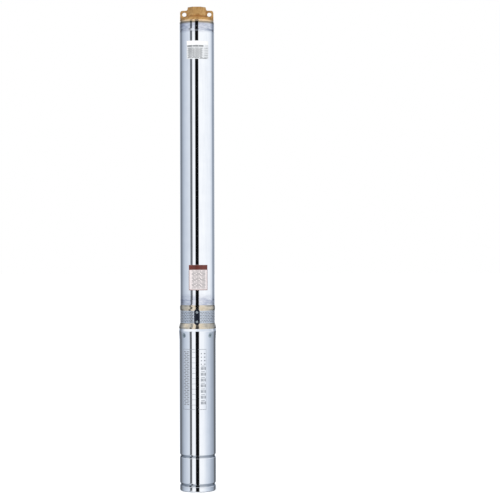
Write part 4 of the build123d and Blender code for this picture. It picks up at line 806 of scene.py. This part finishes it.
upper_lines = ruled_rows(ink_radius, upper_rows[::2],
                         [(-30, -19), (-17, -8), (-6, 1), (3, 9), (12, 21)])
upper_lines += ruled_rows(ink_radius, upper_rows[1::2], [(-27, -15), (-12, -5), (-2, 5), (7, 18)])
upper_lines += ruled_rows(ink_radius, thin_rules(upper_rows[::2], height=0.0008), [(26, 42)])
upper_lines += ruled_rows(ink_radius, [(1.1682, 1.1716)], [(-31, -14), (-12, 6), (8, 24)])
upper_lines += ruled_rows(ink_radius, [(1.1366, 1.1380)], [(10, 36)])
mesh_piece("upper_sticker_rows", *joined_plates(upper_lines), vinyl_ink, "housing",
           "grey_moulding")
lower_red = ruled_rows(ink_radius, [(0.5833, 0.5961), (0.5300, 0.5315)], [(-27.6, 36.8)])
lower_red += ruled_rows(ink_radius, [(0.5316, 0.5832)], [(-27.6, -25.8), (35.0, 36.8)])
mesh_piece("lower_sticker_border", *joined_plates(lower_red), vinyl_red, "housing", "dark_plate")
lower_rows = even_rows(0.5350, 0.5800, pitch=0.0032, height=0.0014)
lower_lines = ruled_rows(ink_radius, lower_rows[::3], [(-17, -3), (0, 11), (15, 29)])
lower_lines += ruled_rows(ink_radius, lower_rows[1::3], [(-14, 6), (9, 27)])
lower_lines += ruled_rows(ink_radius, lower_rows[2::3], [(-17, -8), (-5, 14), (18, 29)])
mesh_piece("lower_sticker_rows", *joined_plates(lower_lines), vinyl_ink, "housing",
           "grey_moulding")

# The etched grid lies a hair above the motor's skin: two columns of rows and one of blocks
etched_finish = finish(
    "etched_steel", moulded,
    {"Color": colour(138, 143, 151), "Second Color": colour(162, 167, 174), "Grain": 2400.0,
     "Smooth": 0.5, "Rough": 0.65},
    depth=0.000004, Metallic=0.35,
)
etch_lift = 0.00001
etch_radius = motor_radius + etch_lift
etched = ruled_rows(etch_radius, [(0.2170, 0.2182), (0.3745, 0.3757)], [(-50, -7), (4, 30)])
etched += ruled_rows(etch_radius, [(0.2183, 0.3744)], [(-50, -49.3), (29.3, 30)])
etched_rows = even_rows(0.2290, 0.3700, pitch=0.0046, height=0.0028)
etched += ruled_rows(etch_radius, etched_rows[::2], [(-46, -37), (-34, -26)])
etched += ruled_rows(etch_radius, etched_rows[1::2], [(-42, -28)])
etched += ruled_rows(etch_radius, thin_rules(etched_rows[::3], height=0.0009), [(-18, -5)])
etched_blocks = even_rows(0.2310, 0.3300, pitch=0.0150, height=0.0076)
etched += ruled_rows(etch_radius, etched_blocks, [(12, 15), (16, 19), (20.5, 22.5), (24, 28)])
etched += ruled_rows(etch_radius, thin_rules(etched_blocks, height=0.0016, lift=0.0096),
                     [(13, 25)])
etched += ruled_rows(etch_radius, etched_rows[-8::2], [(12, 15.5), (22, 27)])
mesh_piece("etched_grid", *joined_plates(etched), etched_finish, "housing", "zinc_steel")


# ---------------------------------------------------------------------------------------------
# Studio: a plain pale floor, white behind the pump, two soft lamps, and strips of white and
# black card round the pump, which only the polished metal mirrors.

white = (1.0, 1.0, 1.0, 1.0)
room_light = (0.9, 0.9, 0.91, 1.0)
paper_glow = 0.35
floor_half = 40.0
floor_drop = 0.0002
floor_corners = np.array([[-1, -1, 0], [1, -1, 0], [1, 1, 0], [-1, 1, 0]]) * floor_half
floor_mesh = bpy.data.meshes.new("studio_floor")
floor_mesh.from_pydata((floor_corners - [0, 0, floor_drop]).tolist(), [], [[0, 1, 2, 3]])
floor = bpy.data.objects.new("studio_floor", floor_mesh)
bpy.context.scene.collection.objects.link(floor)
floor.visible_glossy = False
paper = bpy.data.materials.new("studio_paper")
paper.use_nodes = True
tree = paper.node_tree
shader = tree.nodes["Principled BSDF"]
mottle = grain(tree, put(tree, "TexCoord").outputs["Object"], 3.0)
tree.links.new(blended(tree, mottle, colour(238, 238, 238), colour(240, 240, 240)),
               shader.inputs["Base Color"])
shader.inputs["Roughness"].default_value = 0.9
shader.inputs["Specular IOR Level"].default_value = 0.0
shader.inputs["Emission Color"].default_value = white
seen = put(tree, "LightPath").outputs["Is Camera Ray"]
tree.links.new(sums(tree, "MULTIPLY", seen, paper_glow), shader.inputs["Emission Strength"])
floor_mesh.materials.append(paper)

# The cards: azimuth in degrees from the camera's side towards +X, and the grey tone there. From
# the floor up they are the lower ring round the motor, the upper ring round the pump, a white
# band that the rolled rims pick up, and a high ring for faces that lean back. Below and above
# these stands the lower ring as the flanks of the grooves need it. All are turned by card_shift.
card_shift = 1.77
black_strip = [(-13.3, 247), (-12.1, 12), (9.2, 12), (10.4, 250)]
upper_cards = [
    (-180, 240), (-172, 240), (-170, 206), (-158, 196), (-146, 124), (-127, 116), (-114, 162),
    (-90, 196), (-62, 214), (-48, 221), (-46, 104), (-32.5, 104), (-30.5, 247), *black_strip,
    (48, 249), (60, 244), (90, 241), (104, 226), (115, 208), (122, 152), (147, 134), (162, 196),
    (167, 204), (168.5, 52), (175, 52), (176.5, 240),
]
lower_cards = [
    (-180, 236), (-172, 236), (-170, 200), (-160, 188), (-146, 108), (-128, 98), (-114, 142),
    (-94, 180), (-68, 205), (-52, 216), (-50, 96), (-37, 96), (-35, 247), *black_strip,
    (36, 246), (60, 216), (82, 192), (102, 164), (118, 150), (131, 96), (150, 98), (164, 188),
    (167, 196), (168.5, 48), (175, 48), (176.5, 236),
]
band_cards = [
    (-180, 70), (-136, 76), (-128, 150), (-112, 172), (-88, 236), (-40, 250), (-11, 250), (-5, 228),
    (5, 228), (12, 234), (30, 224), (60, 220), (90, 202), (115, 172), (128, 148), (136, 76),
]
high_cards = [
    (-180, 70), (-152, 78), (-124, 136), (-86, 168), (-62, 200), (-48, 205), (-46, 160), (-32, 165),
    (-29, 254), (-13.3, 254), (-11, 80), (8.5, 80), (10.5, 252), (30, 246), (46, 222), (60, 186),
    (86, 182), (124, 140), (152, 78),
]
steel_mirror = 0.85
groove_lean = 27
ceiling_card = (0.85, 0.85, 0.85, 1.0)
world = bpy.data.worlds.new("studio_cards")
bpy.context.scene.world = world
world.use_nodes = True
world.cycles.sampling_method = "NONE"
tree = world.node_tree
tree.nodes.clear()
direction = put(tree, "SeparateXYZ", {0: put(tree, "TexCoord").outputs["Generated"]}).outputs
towards = sums(tree, "MULTIPLY", direction["Y"], -1.0)
azimuth = sums(tree, "SUBTRACT", sums(tree, "ARCTAN2", direction["X"], towards),
               radians(card_shift))
wrapped = put(tree, "Math", {0: azimuth, 1: -pi, 2: pi}, operation="WRAP").outputs[0]
around = spread(tree, wrapped, -pi, pi, 0.0, 1.0)


def ramp(tree, share, stops):
    """Add a colour ramp with stops of (position, colour), and return its colour."""
    node = put(tree, "ValToRGB", {"Fac": share})
    elements = node.color_ramp.elements
    elements.remove(elements[1])
    for number, (position, tone) in enumerate(stops):
        element = elements.new(position) if number else elements[0]
        element.position = position
        element.color = tone
    return node.outputs["Color"]


def card_ring(cards):
    """A ring of cards as a ramp over azimuth. Grey card is a little blue, and white card isn't.

    The tones are what the steel shows, so they are divided by the share that it mirrors.
    """
    stops = []
    for turn, tone in cards + [(180, cards[0][1])]:
        blue = max(0.0, 1 - ((tone - 170) / 85) ** 2)
        card = colour(tone, tone + 9 * blue, tone + 22 * blue)
        stops.append(((turn + 180) / 360, (*(part / steel_mirror for part in card[:3]), 1.0)))
    return ramp(tree, around, stops)


def seen_leaning(cards, lean):
    """Cards as a face that leans by an angle has to meet them, to show them as upright metal does.

    Upright metal at azimuth a mirrors azimuth 2a. A face that leans by s there mirrors the azimuth
    whose tangent is 2*c*cos(a)*sin(a) / (2*c*cos(a)^2 - 1), with c = cos(s)^2.
    """
    lean_share = cos(radians(lean)) ** 2
    half = np.radians([turn for turn, _ in cards]) / 2
    turned = np.degrees(np.arctan2(2 * lean_share * np.cos(half) * np.sin(half),
                                   2 * lean_share * np.cos(half) ** 2 - 1))
    turned[0] = -180
    return [(float(turn), tone) for turn, (_, tone) in zip(turned, cards)]


def raised(first, last):
    """Share that goes from 0 to 1 as the view in the mirror rises from one elevation to another."""
    return spread(tree, direction["Z"], sin(radians(first)), sin(radians(last)), 0.0, 1.0)


flank_cards = card_ring(seen_leaning(lower_cards, groove_lean))
mirrored = flank_cards
# Each ring takes over from the one below it between two elevations, in degrees
for first, last, above in (
    (-24.0, -16.0, card_ring(lower_cards)), (-2.5, -1.95, card_ring(upper_cards)),
    (9.0, 12.5, card_ring(band_cards)), (22.0, 25.0, card_ring(high_cards)),
    (31.0, 35.0, flank_cards), (62.0, 66.0, ceiling_card),
):
    mirrored = blended(tree, raised(first, last), mirrored, above)
rays = put(tree, "LightPath").outputs
plain = blended(tree, rays["Is Camera Ray"], room_light, white)
light = put(tree, "Background", {"Color": blended(tree, rays["Is Glossy Ray"], plain, mirrored)})
tree.links.new(light.outputs[0], put(tree, "OutputWorld").inputs["Surface"])


def soft_lamp(name, power, size, location, turn):
    """Hang a square lamp that lights the pump but isn't mirrored in it."""
    lamp = bpy.data.lights.new(name, "AREA")
    lamp.energy = power
    lamp.size = size
    holder = bpy.data.objects.new(name, lamp)
    holder.location = location
    holder.rotation_euler = [radians(angle) for angle in turn]
    holder.visible_glossy = False
    holder.visible_camera = False
    bpy.context.scene.collection.objects.link(holder)


soft_lamp("key_lamp", power=34.0, size=1.6, location=(-1.7, -2.4, 2.6), turn=(52, 0, -35))
soft_lamp("fill_lamp", power=12.0, size=2.2, location=(2.2, -2.2, 1.6), turn=(68, 0, 45))

camera_data = bpy.data.cameras.new("studio_camera")
camera_data.lens = 122.4
camera_data.sensor_width = 36.0
camera = bpy.data.objects.new("studio_camera", camera_data)
camera.location = (0.1393, -4.497, 0.635)
camera.rotation_euler = (radians(90), radians(0.137), 0.0)
bpy.context.scene.collection.objects.link(camera)
bpy.context.scene.camera = camera
bpy.context.scene.view_settings.view_transform = "Standard"
